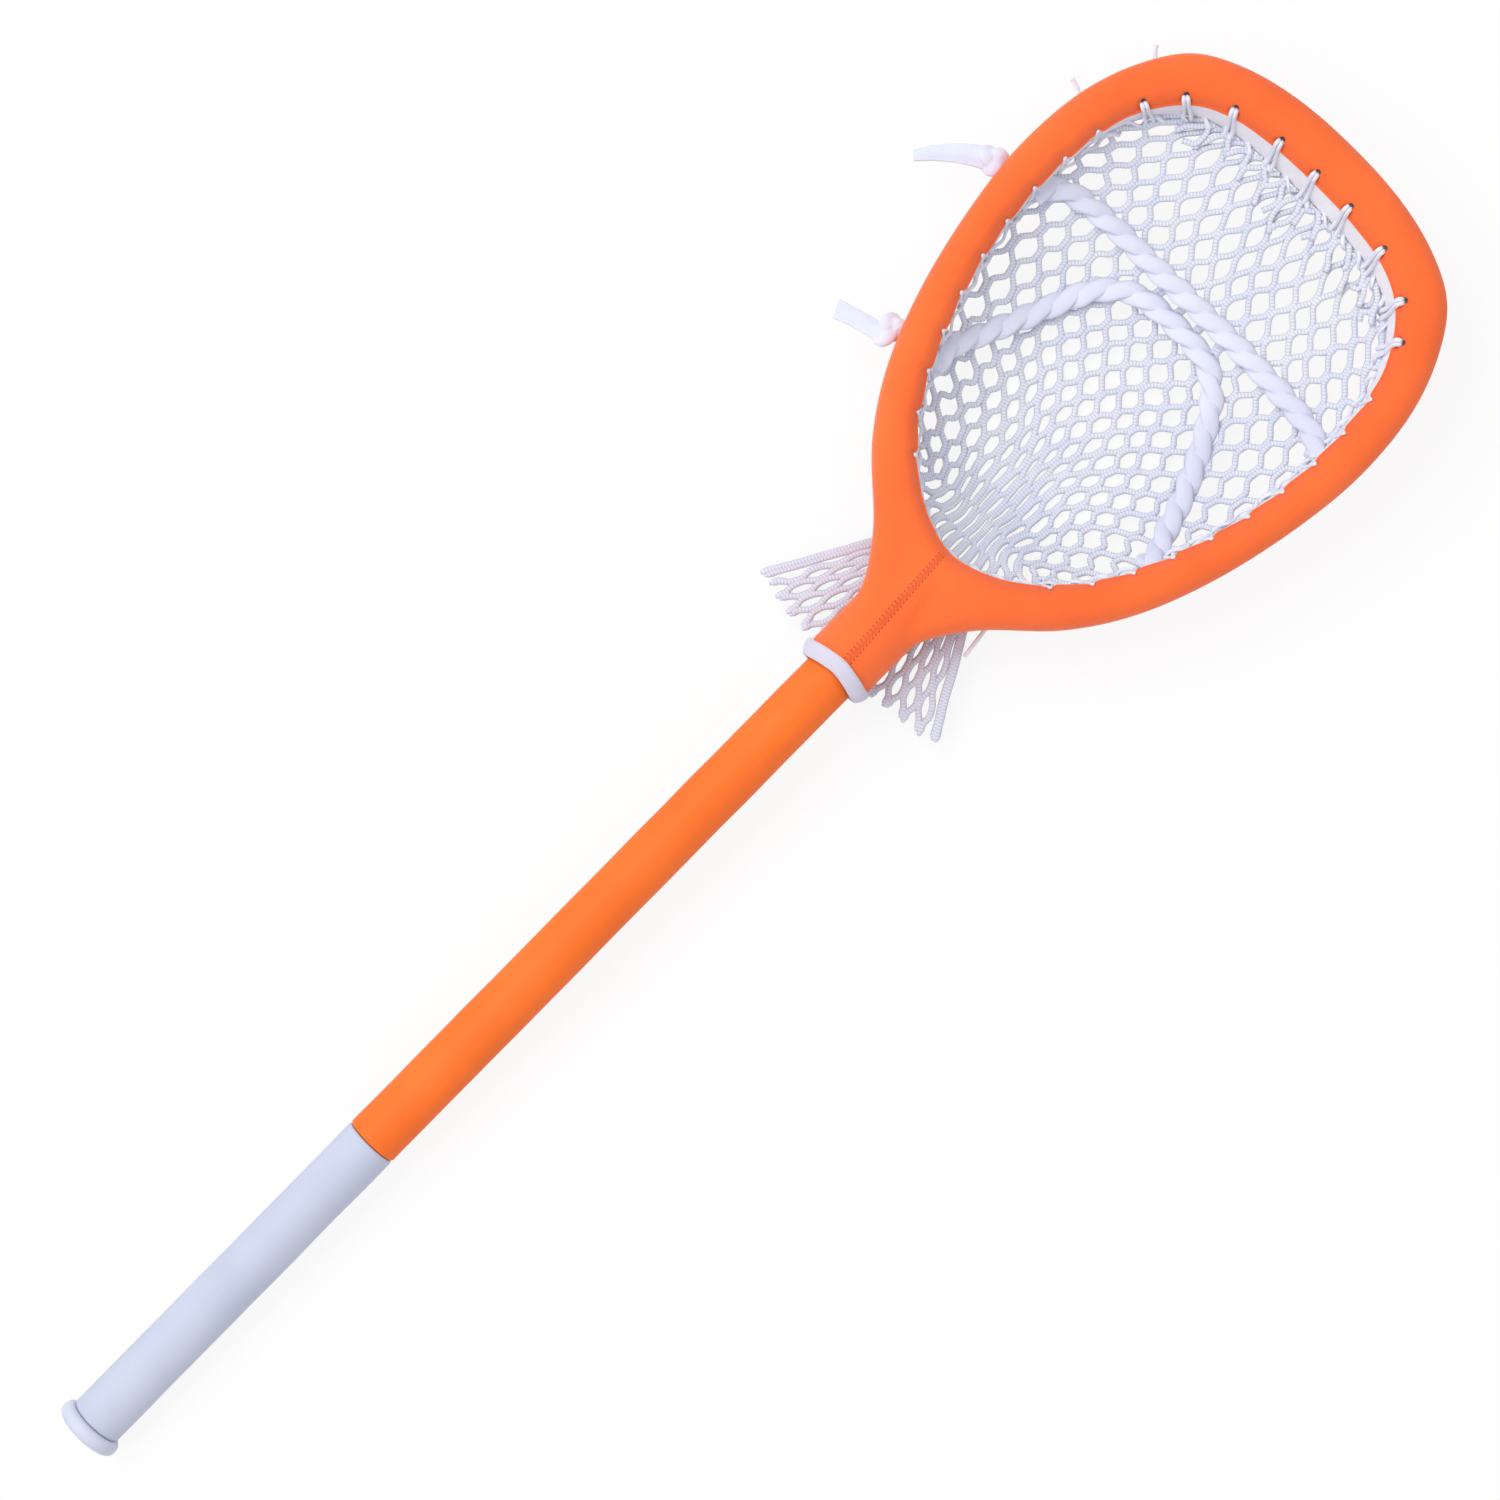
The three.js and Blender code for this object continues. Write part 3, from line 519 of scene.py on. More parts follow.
# %% Butt cap
CAP_RADIUS = 20.3 * MM
CAP_FLAT_RADIUS = 15 * MM
CAP_LENGTH = 13 * MM
CAP_ROUND = 4 * MM
CAP_TUCK = 3.4 * MM
CAP_LIP = 2 * MM
CAP_DISH = 0.8 * MM
PLUG_RADIUS = 10.8 * MM
PLUG_LENGTH = 28 * MM
cap_white = foam("cap_white", srgb(194, 200, 218), srgb(214, 219, 234), 0.8 * MM, 0.03 * MM, 0.5)


def arc(centre, radii, start, end, steps):
    """Points of an elliptic arc between two angles in degrees."""
    angles = [math.radians(start + (end - start) * k / steps) for k in range(steps + 1)]
    return [(centre[0] + radii[0] * math.cos(a), centre[1] + radii[1] * math.sin(a)) for a in angles]


cap_profile = [(0, CAP_TUCK + CAP_DISH), (CAP_FLAT_RADIUS * 0.55, CAP_TUCK + CAP_DISH),
               (CAP_FLAT_RADIUS * 0.8, CAP_TUCK + CAP_DISH / 3)]
cap_profile += arc((CAP_FLAT_RADIUS, CAP_TUCK + CAP_ROUND),
                   (CAP_RADIUS - CAP_FLAT_RADIUS, CAP_ROUND), -90, 0, 8)
cap_profile += arc((CAP_RADIUS - CAP_ROUND, CAP_LENGTH - CAP_LIP - CAP_ROUND / 2),
                   (CAP_ROUND, CAP_ROUND), 0, 80, 6)
cap_profile += [(GRIP_RADIUS - 0.3 * MM, CAP_LENGTH), (PLUG_RADIUS, CAP_LENGTH),
                (PLUG_RADIUS, CAP_LENGTH + PLUG_LENGTH), (PLUG_RADIUS * 0.9, CAP_LENGTH + PLUG_LENGTH),
                (0, CAP_LENGTH + PLUG_LENGTH)]
bm = bmesh.new()
spin_profile(bm, cap_profile, SLEEVE_STEPS)
butt_rubber = finish_mesh("butt_rubber", bm, cap_white)
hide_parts("butt_cap")
print("cap: %.1f mm across" % (butt_rubber.dimensions.x / MM))

# %% [markdown]
# ## Head cover
# The head is a plastic frame between two foam rings, and a stretched knit cover goes round them all
# and down the neck. First comes a full plate between the two outlines, made from a filled curve with
# a round bevel, then the neck, which is spun. A voxel remesh joins them and a few rounds of smoothing
# pull the throat into the long fillets of stretched cloth.

# %% Head cover: the padded form
PAD_ROUND = 11.5 * MM
CURVE_POINTS = 240
NECK_RADIUS = 22.25 * MM
COVER_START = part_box("head_cover")[0][1]
NECK_LENGTH = THROAT_EDGE - 4.75 * MM - COVER_START
NECK_SHARES = [(1, 0), (1, 0.48), (0.95, 0.68), (0.83, 0.86), (0.6, 0.97)]
NECK_OVERRUN = 12 * MM
NECK_STEPS = 64
COVER_VOXEL = 1.7 * MM
COVER_SMOOTHINGS = 9


def add_loop(curve, loop):
    """A closed poly spline through points of a loop."""
    spline = curve.splines.new("POLY")
    step = len(loop) // CURVE_POINTS
    points = loop[::step]
    spline.points.add(len(points) - 1)
    for point, place in zip(spline.points, points):
        point.co = (*place, 1)
    spline.use_cyclic_u = True


def mesh_of(data):
    """The evaluated mesh of a curve or of a mesh with modifiers, as a new mesh."""
    holder = data if isinstance(data, bpy.types.Object) else bpy.data.objects.new("form", data)
    if holder.name not in bpy.context.scene.collection.objects:
        bpy.context.scene.collection.objects.link(holder)
    graph = bpy.context.evaluated_depsgraph_get()
    mesh = bpy.data.meshes.new_from_object(holder.evaluated_get(graph))
    bpy.data.objects.remove(holder)
    return mesh


plate_curve = bpy.data.curves.new("plate", "CURVE")
plate_curve.dimensions = "2D"
plate_curve.fill_mode = "BOTH"
plate_curve.extrude = HALF_RAIL - PAD_ROUND
plate_curve.bevel_depth = PAD_ROUND
plate_curve.bevel_resolution = 5
plate_curve.offset = -PAD_ROUND
add_loop(plate_curve, OUTER_LOOP)
add_loop(plate_curve, INNER_LOOP)
bm = bmesh.new()
bm.from_mesh(mesh_of(plate_curve))
neck_start = COVER_START - NECK_OVERRUN
neck_profile = [(0, neck_start), (NECK_RADIUS, neck_start)]
neck_profile += [(radius * NECK_RADIUS, COVER_START + along * NECK_LENGTH)
                 for radius, along in NECK_SHARES]
neck_profile += [(0, COVER_START + NECK_LENGTH)]
spin_profile(bm, neck_profile, NECK_STEPS)
bmesh.ops.remove_doubles(bm, verts=bm.verts, dist=MERGE_DISTANCE)
bmesh.ops.recalc_face_normals(bm, faces=bm.faces)
form_mesh = bpy.data.meshes.new("padded_form")
bm.to_mesh(form_mesh)
bm.free()
form = bpy.data.objects.new("padded_form", form_mesh)
remesh = form.modifiers.new("voxels", "REMESH")
remesh.mode = "VOXEL"
remesh.voxel_size = COVER_VOXEL
cover_mesh = mesh_of(form)
print("padded form: %d faces" % len(cover_mesh.polygons))

# %% [markdown]
# ## Head cover: where the laces pull
# Two laces hold the cover to the net. The one at the scoop dives through punched holes, whose places
# are given in millimetres from the middle of the scoop. The ones at the sides turn over the edge of
# the cloth at even steps and draw it back in small scallops, with a cusp at each turn. A tree of the
# opening's points tells for any place how far it is from the edge and where on the edge it lies.

# %% Head cover: where the laces pull
SCOOP_LACING = [108.1, 84.9, 54.2, 23.7, -3.4, -30.9, -62.3, -90.4, -114.3]
HOLE_INSET = 3.5 * MM
TURN_START = 62 * MM
TURN_PITCH = 24.5 * MM
TURN_COUNT = 10
SCALLOP_DEPTH = 1.7 * MM
SCALLOP_SNAP = 0.16
SCALLOP_POWER = 1.8

inner_tree = kdtree.KDTree(LOOP_STEPS)
for k, place in enumerate(INNER_LOOP):
    inner_tree.insert(place, k)
inner_tree.balance()


def edge_place(place):
    """Share along the opening's edge and distance from it, for a place seen from above."""
    _, k, distance = inner_tree.find(Vector((place.x, place.y, 0)))
    return k / LOOP_STEPS, distance


def scallop(share):
    """How far the side lace draws the edge of the cloth back, with a cusp at each of its turns."""
    from_throat = min(share % 1, 1 - share % 1) * INNER_LENGTH
    step = (from_throat - TURN_START) / TURN_PITCH
    turn = step % 1
    if turn < SCALLOP_SNAP:
        pull = 1 - turn / SCALLOP_SNAP
    else:
        pull = ((turn - SCALLOP_SNAP) / (1 - SCALLOP_SNAP)) ** SCALLOP_POWER
    return SCALLOP_DEPTH * pull * max(0.0, min(1.0, step + 1, TURN_COUNT - step))


def smooth_step(value):
    """A smooth rise from 0 to 1."""
    value = max(0.0, min(1.0, value))
    return value * value * (3 - 2 * value)


loop_shares = [0.5 - place * MM / INNER_LENGTH for place in SCOOP_LACING]
lace_holes = [hoop_point(share, -HOLE_INSET) for share in loop_shares]
print("holes and turns: %d and %d" % (len(lace_holes), 2 * TURN_COUNT))

# %% [markdown]
# ## Head cover: from a form to an open skin
# The form is smoothed until the throat is one fillet. A plane opens it at the neck, and two more
# planes cut the inner wall, where the white band sits: what lies between them is deleted.

# %% Head cover: the open skin
COVER_OVERRUN = 4 * MM
SLIT_TOP = 7.8 * MM
SLIT_BOTTOM = -14.8 * MM
SLIT_REACH = 6 * MM


def smooth_all(bm, rounds):
    """Evens out every vertex, a few rounds over."""
    for _ in range(rounds):
        bmesh.ops.smooth_vert(bm, verts=bm.verts, factor=0.5, use_axis_x=True, use_axis_y=True,
                              use_axis_z=True)


bm = bmesh.new()
bm.from_mesh(cover_mesh)
smooth_all(bm, COVER_SMOOTHINGS)


def cut_at(geometry, place, normal, clear_inner=False):
    """Cuts faces of the cover with a plane, and can remove what lies behind it."""
    edges = {edge for face in geometry for edge in face.edges}
    corners = {corner for face in geometry for corner in face.verts}
    bmesh.ops.bisect_plane(bm, geom=[*geometry, *edges, *corners], plane_co=place, plane_no=normal,
                           dist=MERGE_DISTANCE, clear_inner=clear_inner)


def near_wall():
    """The faces of the cover at the wall of the opening."""
    return [face for face in bm.faces if edge_place(face.calc_center_median())[1] < SLIT_REACH]


cut_at(bm.faces[:], (0, COVER_START - COVER_OVERRUN, 0), (0, 1, 0), clear_inner=True)
cut_at(near_wall(), (0, 0, SLIT_TOP), (0, 0, 1))
cut_at(near_wall(), (0, 0, SLIT_BOTTOM), (0, 0, 1))
slit_faces = [face for face in near_wall() if SLIT_BOTTOM < face.calc_center_median().z < SLIT_TOP]
bmesh.ops.delete(bm, geom=slit_faces, context="FACES")
print("open skin: %d faces" % len(bm.faces))

# %% [markdown]
# ## Head cover: dimples, scallops and holes
# The lacing pulls the cloth down in small dimples and back in scallops, and the ends of the foam
# inside press it out a little beside the throat. Each lace leaves through a punched hole: the faces
# inside it are deleted and the ring that is left is drawn to a circle. A Solidify modifier then gives
# the cloth its thickness.

# %% Head cover: the cloth shell
CLOTH_THICKNESS = 1.3 * MM
HOLE_RADIUS = 1.9 * MM
HOLE_CUT_RADIUS = 2.6 * MM
DIMPLE_DEPTH = 0.9 * MM
DIMPLE_SIZE = 4.5 * MM
SCALLOP_REACH = 15 * MM
SCALLOP_FADE = 8 * MM
FOAM_END = Vector((21.5 * MM, 668 * MM, 9 * MM))
FOAM_END_SIZE = 7 * MM
FOAM_END_SWELL = 1.0 * MM

for vert in bm.verts:
    share, distance = edge_place(vert.co)
    if vert.co.z > 0:
        for hole in lace_holes:
            away = math.hypot(vert.co.x - hole.x, vert.co.y - hole.y)
            vert.co.z -= DIMPLE_DEPTH * math.exp(-(away / DIMPLE_SIZE) ** 2)
    to_foam = (Vector((abs(vert.co.x), vert.co.y, abs(vert.co.z))) - FOAM_END).length
    vert.co += vert.normal * FOAM_END_SWELL * math.exp(-(to_foam / FOAM_END_SIZE) ** 2)
    if distance < SCALLOP_REACH:
        pull = scallop(share) * (1 - distance / SCALLOP_REACH) ** 1.5
        pull *= smooth_step(vert.co.z / SCALLOP_FADE + 1)
        vert.co += (hoop_point(share, -1) - hoop_point(share)) * pull

for hole in lace_holes:
    inside = [vert for vert in bm.verts
              if vert.co.z > 0 and math.hypot(vert.co.x - hole.x, vert.co.y - hole.y) < HOLE_CUT_RADIUS]
    bmesh.ops.delete(bm, geom=inside, context="VERTS")
    for vert in bm.verts:
        away = Vector((vert.co.x - hole.x, vert.co.y - hole.y))
        if vert.is_boundary and vert.co.z > SLIT_TOP + MM and away.length < 2 * HOLE_CUT_RADIUS:
            away *= HOLE_RADIUS / away.length
            vert.co.x, vert.co.y = hole.x + away.x, hole.y + away.y
loose = [vert for vert in bm.verts if not vert.link_faces]
bmesh.ops.delete(bm, geom=loose, context="VERTS")
head_cloth = finish_mesh("head_cloth", bm, cover_orange)
wall = head_cloth.modifiers.new("cloth", "SOLIDIFY")
wall.thickness = CLOTH_THICKNESS
wall.offset = -1
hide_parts("head_cover")
print("cover: %d faces, %d holes" % (len(head_cloth.data.polygons), len(lace_holes)))

# %% [markdown]
# ## Inner band
# A strip of white webbing lines the inside of the hoop, and the pocket hangs from its lower edge. It
# leans into the opening, so a little of it shows from above at the scoop. The strip is a grid laid
# along the opening's edge, drawn in a little at each lace, with a fine weave.

# %% Inner band
BAND_TOP = 7.5 * MM
BAND_BOTTOM = -14.5 * MM
BAND_THICKNESS = 1.2 * MM
SCOOP_LEAN = 5.6 * MM
SIDE_LEAN = 0.7 * MM
SCOOP_REACH_SHARE = 0.19
BAND_COLUMNS = 480
BAND_ROWS = 10
BAND_SCALLOP = 0.5 * MM
BAND_PITCH = 15.5 * MM
webbing_white = cloth("webbing_white", srgb(244, 242, 249), srgb(250, 248, 253), 0.8 * MM, 0.08 * MM)


def band_lean(share):
    """How far the band's lower edge leans into the opening: most at the scoop."""
    nearness = smooth_step(1 - abs(share % 1 - 0.5) / SCOOP_REACH_SHARE)
    return SIDE_LEAN + (SCOOP_LEAN - SIDE_LEAN) * nearness


def band_face(share, height):
    """How far the band stands off the wall at a height."""
    return band_lean(share) * (BAND_TOP - height) / (BAND_TOP - BAND_BOTTOM)


def band_point(around, up):
    """A place on the band's outer face, with its lower edge scalloped by the laces."""
    wave = 1 + math.cos(around * INNER_LENGTH / BAND_PITCH * 2 * math.pi)
    rise = BAND_SCALLOP * wave * (1 - up) ** 3
    height = BAND_BOTTOM + (BAND_TOP - BAND_BOTTOM) * up + rise
    return hoop_point(around, band_face(around, height) - scallop(around) * up * 0.7, height)


bm = bmesh.new()
lay_grid(bm, BAND_COLUMNS, BAND_ROWS, band_point)
inner_band = finish_mesh("band_webbing", bm, webbing_white)
wall = inner_band.modifiers.new("webbing", "SOLIDIFY")
wall.thickness = BAND_THICKNESS
wall.offset = 1
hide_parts("inner_band")
print("band: %.0f mm long" % (INNER_LENGTH / MM))

# %% [markdown]
# ## The surface of the pocket
# The net hangs from the lower edge of the band. Seen from above, its four sides follow that edge, and
# the surface between them is blended from the sides, as a patch of sheet metal would be lofted. It
# drops steeply from the throat, lies flat on the floor where the pocket is deepest, and climbs slowly
# to the scoop. Every cord of the net and both shooting strings are laid on this one surface.

# %% The surface of the pocket
NET_THICKNESS = 3.2 * MM
NET_GAP = 0.3 * MM
NET_RIM = BAND_BOTTOM + NET_THICKNESS / 2
THROAT_CORNER_SHARE = 0.042
SCOOP_CORNER_SHARE = 0.39
DEEPEST_SHARE = 0.34
POCKET_DEPTH = 44 * MM
SIDE_POWER = 0.8


def mirrored(place):
    """The same place on the left half."""
    return Vector((-place.x, place.y, place.z))


def net_edge(share):
    """A place on the edge of the net, just off the band."""
    return hoop_point(share, band_lean(share) + NET_GAP)


def side_point(along):
    """A place on the right side of the net."""
    share = THROAT_CORNER_SHARE + (SCOOP_CORNER_SHARE - THROAT_CORNER_SHARE) * along
    return net_edge(share)


def net_plan(across, along):
    """The net seen from above: across from -1 to 1, along from 0 at the throat to 1 at the scoop."""
    right = (across + 1) / 2
    low = net_edge(THROAT_CORNER_SHARE * across)
    high = net_edge(0.5 - (0.5 - SCOOP_CORNER_SHARE) * across)
    side, foot, head = side_point(along), side_point(0), side_point(1)
    sides = mirrored(side).lerp(side, right)
    corners = mirrored(foot).lerp(foot, right).lerp(mirrored(head).lerp(head, right), along)
    return sides + low.lerp(high, along) - corners


def net_point(across, along, rise=0.0):
    """A place on the hanging net, or above it."""
    plan = net_plan(across, along)
    if along < DEEPEST_SHARE:
        swell = math.sin(along / DEEPEST_SHARE * math.pi / 2)
    else:
        swell = math.sin((1 - along) / (1 - DEEPEST_SHARE) * math.pi / 2) ** 2
    sag = POCKET_DEPTH * swell * (1 - min(1.0, across ** 2)) ** SIDE_POWER
    lowest = max(floor_height(plan.y) + FLOOR_GAP, -POCKET_DROP) + NET_THICKNESS / 2
    plan.z = max(NET_RIM - sag, lowest) + rise
    return plan


print("pocket bottom: %.1f mm" % (net_point(0, DEEPEST_SHARE).z / MM))

# %% [markdown]
# ## Cords as curves
# Net, strings and laces are all cords of some kind. A cord could be swept by hand from its section,
# but a curve with a bevel object does the same and keeps the section from twisting. Here every cord
# is a poly spline: its points give the way, and each point's radius gives the thickness there. The
# section is an oval, or with a roundness under 1 a flatter form with fuller sides.

# %% Cords as curves
CORD_CORNERS = 8


def oval_section(width, thickness, corners, roundness=1.0):
    """A curve object for the section of a cord: an oval, or a flatter one with roundness under 1."""
    section = bpy.data.curves.new("section", "CURVE")
    section.dimensions = "2D"
    spline = section.splines.new("POLY")
    spline.points.add(corners - 1)
    for k, point in enumerate(spline.points):
        turn = 2 * math.pi * k / corners
        reach, rise = (math.copysign(abs(part) ** roundness, part)
                       for part in (math.cos(turn), math.sin(turn)))
        point.co = (width / 2 * reach, thickness / 2 * rise, 0, 1)
    spline.use_cyclic_u = True
    holder = bpy.data.objects.new("section", section)
    bpy.context.scene.collection.objects.link(holder)
    return holder


def cord_mesh(lines, width, thickness, corners=CORD_CORNERS, twist="Z_UP", caps=True, roundness=1.0):
    """A mesh of cords along lines of (place, thickness share)."""
    section = oval_section(width, thickness, corners, roundness)
    curve = bpy.data.curves.new("cords", "CURVE")
    curve.dimensions = "3D"
    curve.twist_mode = twist
    curve.bevel_mode = "OBJECT"
    curve.bevel_object = section
    curve.use_fill_caps = caps
    for line in lines:
        spline = curve.splines.new("POLY")
        spline.points.add(len(line) - 1)
        for point, (place, share) in zip(spline.points, line):
            point.co = (*place, 1)
            point.radius = share
    mesh = mesh_of(curve)
    bpy.data.objects.remove(section)
    for face in mesh.polygons:
        face.use_smooth = True
    return mesh


print("corners of a section: %d" % CORD_CORNERS)

# %% [markdown]
# ## Braided cord and its finish
# The net's cord is braided, which gives it fine ribs across. A line is walked in steps of half a rib,
# and every second ring is a little thinner. The mesh also carries an attribute of painted shade, high
# at the cord's edges and underside and in every second ring. The finish mixes in a darker tone by
# that attribute: painted shade on the flanks and underside and in the grooves between the ribs, so
# the ribs stay clear where the light is flat, and they follow each cord.

# %% Braided cord and its finish
CORD_ROUNDNESS = 0.55
# Painted shade at each corner of a ring: dark on the flanks and underside, none on top.
CORD_PAINTED_SHADES = [0.75, 0.06, 0, 0.06, 0.75, 0.6, 0.6, 0.6]
# Painted shade in the groove at every second ring.
RIB_PAINTED_SHADE = 0.34
RIB_STEP = 1.0 * MM
RIB_SHARE = 0.84


def ribbed(line):
    """A line of (place, share) in even rib steps, with every second one a little thinner."""
    marked = [Vector((*place, share * MM)) for place, share in line]
    length = sum((b - a).length for a, b in zip(marked, marked[1:]))
    steps = even_steps(marked, max(2, int(length / RIB_STEP)), closed=False)
    return [(mark.to_3d(), mark.w / MM * (RIB_SHARE if k % 2 else 1.0)) for k, mark in enumerate(steps)]


def ribbed_mesh(lines, width, thickness):
    """A mesh of ribbed cords with closed ends, marked for painted shade at edges, underside and ribs.
    """
    mesh = cord_mesh(lines, width, thickness, caps=False, roundness=CORD_ROUNDNESS)
    painted_shade_marks = [max(shade, RIB_PAINTED_SHADE * (k % 2))
             for line in lines for k in range(len(line)) for shade in CORD_PAINTED_SHADES]
    mesh.attributes.new("painted_shade", "FLOAT", "POINT").data.foreach_set("value", painted_shade_marks)
    bm = bmesh.new()
    bm.from_mesh(mesh)
    bmesh.ops.holes_fill(bm, edges=[edge for edge in bm.edges if edge.is_boundary], sides=CORD_CORNERS)
    bmesh.ops.recalc_face_normals(bm, faces=bm.faces)
    bm.to_mesh(mesh)
    bm.free()
    return mesh


def braided(name, painted_shade, dark, light):
    """A finish for ribbed cord, with painted shade where the mesh marks edges, underside and ribs."""
    material, tree, shader = new_material(name, light, 0.85, 0.1)
    tone = vary_tone(tree, shader, dark, light, 35 * MM)
    # The mesh attribute carries the painted shade of the edges, underside and rib grooves.
    painted_shade_marks = add_node(tree, "ShaderNodeAttribute")
    painted_shade_marks.attribute_name = "painted_shade"
    blend = add_node(tree, "ShaderNodeMixRGB", Color2=(*painted_shade, 1))
    tree.links.new(painted_shade_marks.outputs["Fac"], blend.inputs["Fac"])
    tree.links.new(tone, blend.inputs["Color1"])
    tree.links.new(blend.outputs["Color"], shader.inputs["Base Color"])
    add_relief(tree, shader, weave_height(tree, 0.7 * MM), 0.1 * MM)
    return material


# The first colour is painted shade for the cord's edges, underside and rib grooves.
net_white = braided("net_white", srgb(124, 132, 164), srgb(231, 236, 254), srgb(243, 246, 255))
print("finish of the net ready")

# %% [markdown]
# ## How the net is knitted
# The cords run from throat to scoop. Each swings left and right, and is joined to one neighbour and
# then to the other, which leaves rows of six-sided gaps. So each cord is one wave with flat tops.
# Three things change along the pocket, and each has a short table from the throat to the scoop, read
# as a smooth curve: where the rows lie, how far the cords crowd to the middle, and how long the joins
# are. A slow noise moves the cords a little, because no row of a real net is ruled.

# %% How the net is knitted
NET_WANDER_SIZE = 27 * MM
CROWDING = [0.9, 0.62, 0.57, 0.58, 0.8, 0.94, 0.98, 0.95, 0.89, 0.9, 0.98]
ROW_PLACES = [0, 0.16, 0.29, 0.384, 0.471, 0.553, 0.633, 0.712, 0.792, 0.887, 1]
JOIN_SHARES = [0.85, 0.85, 0.7, 0.42, 0.35, 0.3, 0.3, 0.28, 0.12, 0.1, 0.1]
SIDE_JOIN_SHARE = 0.5
JOIN_WANDER = 0.12


def from_table(values, share):
    """A smooth curve through values spaced evenly from 0 to 1."""
    spans = len(values) - 1
    k = max(0, min(spans - 1, int(share * spans)))
    t = share * spans - k
    a, b, c, d = (values[max(0, min(spans, k + step))] for step in (-1, 0, 1, 2))
    return b + t * (c - a + t * (2 * a - 5 * b + 4 * c - d + t * (3 * b - a - 3 * c + d))) / 2


def swing(phase, join):
    """A wave with flat tops: 1 at even phases and -1 at odd ones."""
    side = abs(phase % 2 - 1) * 2 - 1
    return math.copysign(math.sin(min(1.0, abs(side) / (1 - join)) * math.pi / 2), side)


def wander(place, amount, size=NET_WANDER_SIZE):
    """A small smooth wandering in the plane, so that no row is ruled."""
    shift = noise.noise_vector(place / size)
    return Vector((shift.x, shift.y, shift.z * 0.4)) * amount


def crowded(across, ease):
    """Draws the cords together in the middle (ease under 1) and apart at the sides."""
    return across * (ease + (1 - ease) * across ** 2)


def join_share(middle, along, seed):
    """The share of a swing in which a cord lies against its neighbour."""
    join = from_table(JOIN_SHARES, along)
    join += (SIDE_JOIN_SHARE - join) * middle ** 2
    return max(0.0, join + JOIN_WANDER * noise.noise(Vector((middle * 3, along * 6, seed))))


print("row places: %d" % len(ROW_PLACES))

# %% [markdown]
# ## The line of one cord
# A cord of the net is worked out point by point. Its row gives the place along the pocket, and its
# number the middle of the lane that it swings in. At the sides the rows bow towards the throat, and
# at the throat itself the outer cords spill over onto the band. The lane narrows where the cords
# crowd, and the cord gets thinner there too. Then the point is laid on the pocket's surface, moved a
# little, and kept above the floor.

# %% The line of one cord
NET_CORDS = 27
NET_HALF_ROWS = 23.4
NET_PHASE = 0.33
SWING_STEPS = 8
CORD_WIDTH = 3.9 * MM
CORD_THICKNESS = 2.5 * MM
FULL_CELL = 3.5 * MM
LEAST_THICKNESS = 0.6
JOIN_SPACING = 2.0 * MM
THROAT_SPILL = 0.45
SPILL_SHARE = 0.12
ROW_BOW = 0.12
BOW_START = 0.3
BOW_END = 0.8
BOW_FADE = 0.35
NET_WANDER = 2.0 * MM
CELL_WANDER = 0.8 * MM
CELL_WANDER_SIZE = 9 * MM
FOLD_WANDER = 4 * MM


def net_cord(number, start=0.0, shift=0.0, rise=0.0, loose=0.0):
    """The line of one cord, to the scoop from a row, or from where it meets the band."""
    spacing = 2 / NET_CORDS
    middle = -1 + spacing * (number + 0.5 + shift)
    steps = int((1 - start) * NET_HALF_ROWS * SWING_STEPS)
    line = []
    for k in range(steps + 1):
        row = start + (1 - start) * k / steps
        along = from_table(ROW_PLACES, row)
        bow = smooth_step(along / BOW_START) * smooth_step((BOW_END - along) / BOW_FADE)
        along -= ROW_BOW * middle ** 2 * bow
        spill = 1 + THROAT_SPILL * smooth_step(1 - along / SPILL_SHARE)
        if abs(middle * spill) > 1:
            continue
        ease = from_table(CROWDING, along)
        ends = [crowded((middle + side * spacing / 2) * spill, ease) for side in (-1, 1)]
        half = (ends[1] - ends[0]) / 2
        cell = side_point(along).x * 2 * half
        thickness = max(LEAST_THICKNESS, min(1.0, cell / FULL_CELL))
        phase = row * NET_HALF_ROWS + NET_PHASE + number + shift
        lean = swing(phase, join_share(middle, along, shift))
        lean *= half * max(0.0, 1 - JOIN_SPACING * thickness / cell)
        across = max(-1.0, min(1.0, (ends[0] + ends[1]) / 2 + lean))
        place = net_point(across, along, rise * min(1.0, (1 - row) * 30))
        calm = min(1.0, 8 * along, 8 * (1 - along)) * max(0.0, 1 - abs(across) ** 4)
        place += wander(place, NET_WANDER * calm)
        place += wander(place, CELL_WANDER * calm, CELL_WANDER_SIZE)
        free = loose * (1 - (row - start) / (1 - start))
        place += wander(place.yzx * 3 + Vector((shift, 0, 0)), FOLD_WANDER * free)
        lowest = max(floor_height(place.y) + FLOOR_GAP, -POCKET_DROP)
        place.z = max(place.z, lowest + CORD_THICKNESS / 2)
        line.append((place, thickness))
    return line


print("points of a whole cord: %d" % len(net_cord(NET_CORDS // 2)))

# %% [markdown]
# ## The whole net
# The net's own cut end is folded back over its first rows at the scoop, so there a second layer of
# short, loose cords lies over the first. These cords start at uneven places and wander more.

# %% The whole net
FOLD_CORDS = 23
FOLD_SHARE = 0.085
FOLD_RISE = 2.4 * MM


def folded_cord(number):
    """A cord of the net's end, folded back over the first rows at the scoop."""
    start = 1 - FOLD_SHARE * (0.6 + 0.5 * random.random())
    shift = 0.5 - 0.4 * smooth_step(number / FOLD_CORDS * 4 - 1.6) + 0.1 * random.random()
    return net_cord(number + (NET_CORDS - FOLD_CORDS) // 2, start, shift, FOLD_RISE, 1.0)


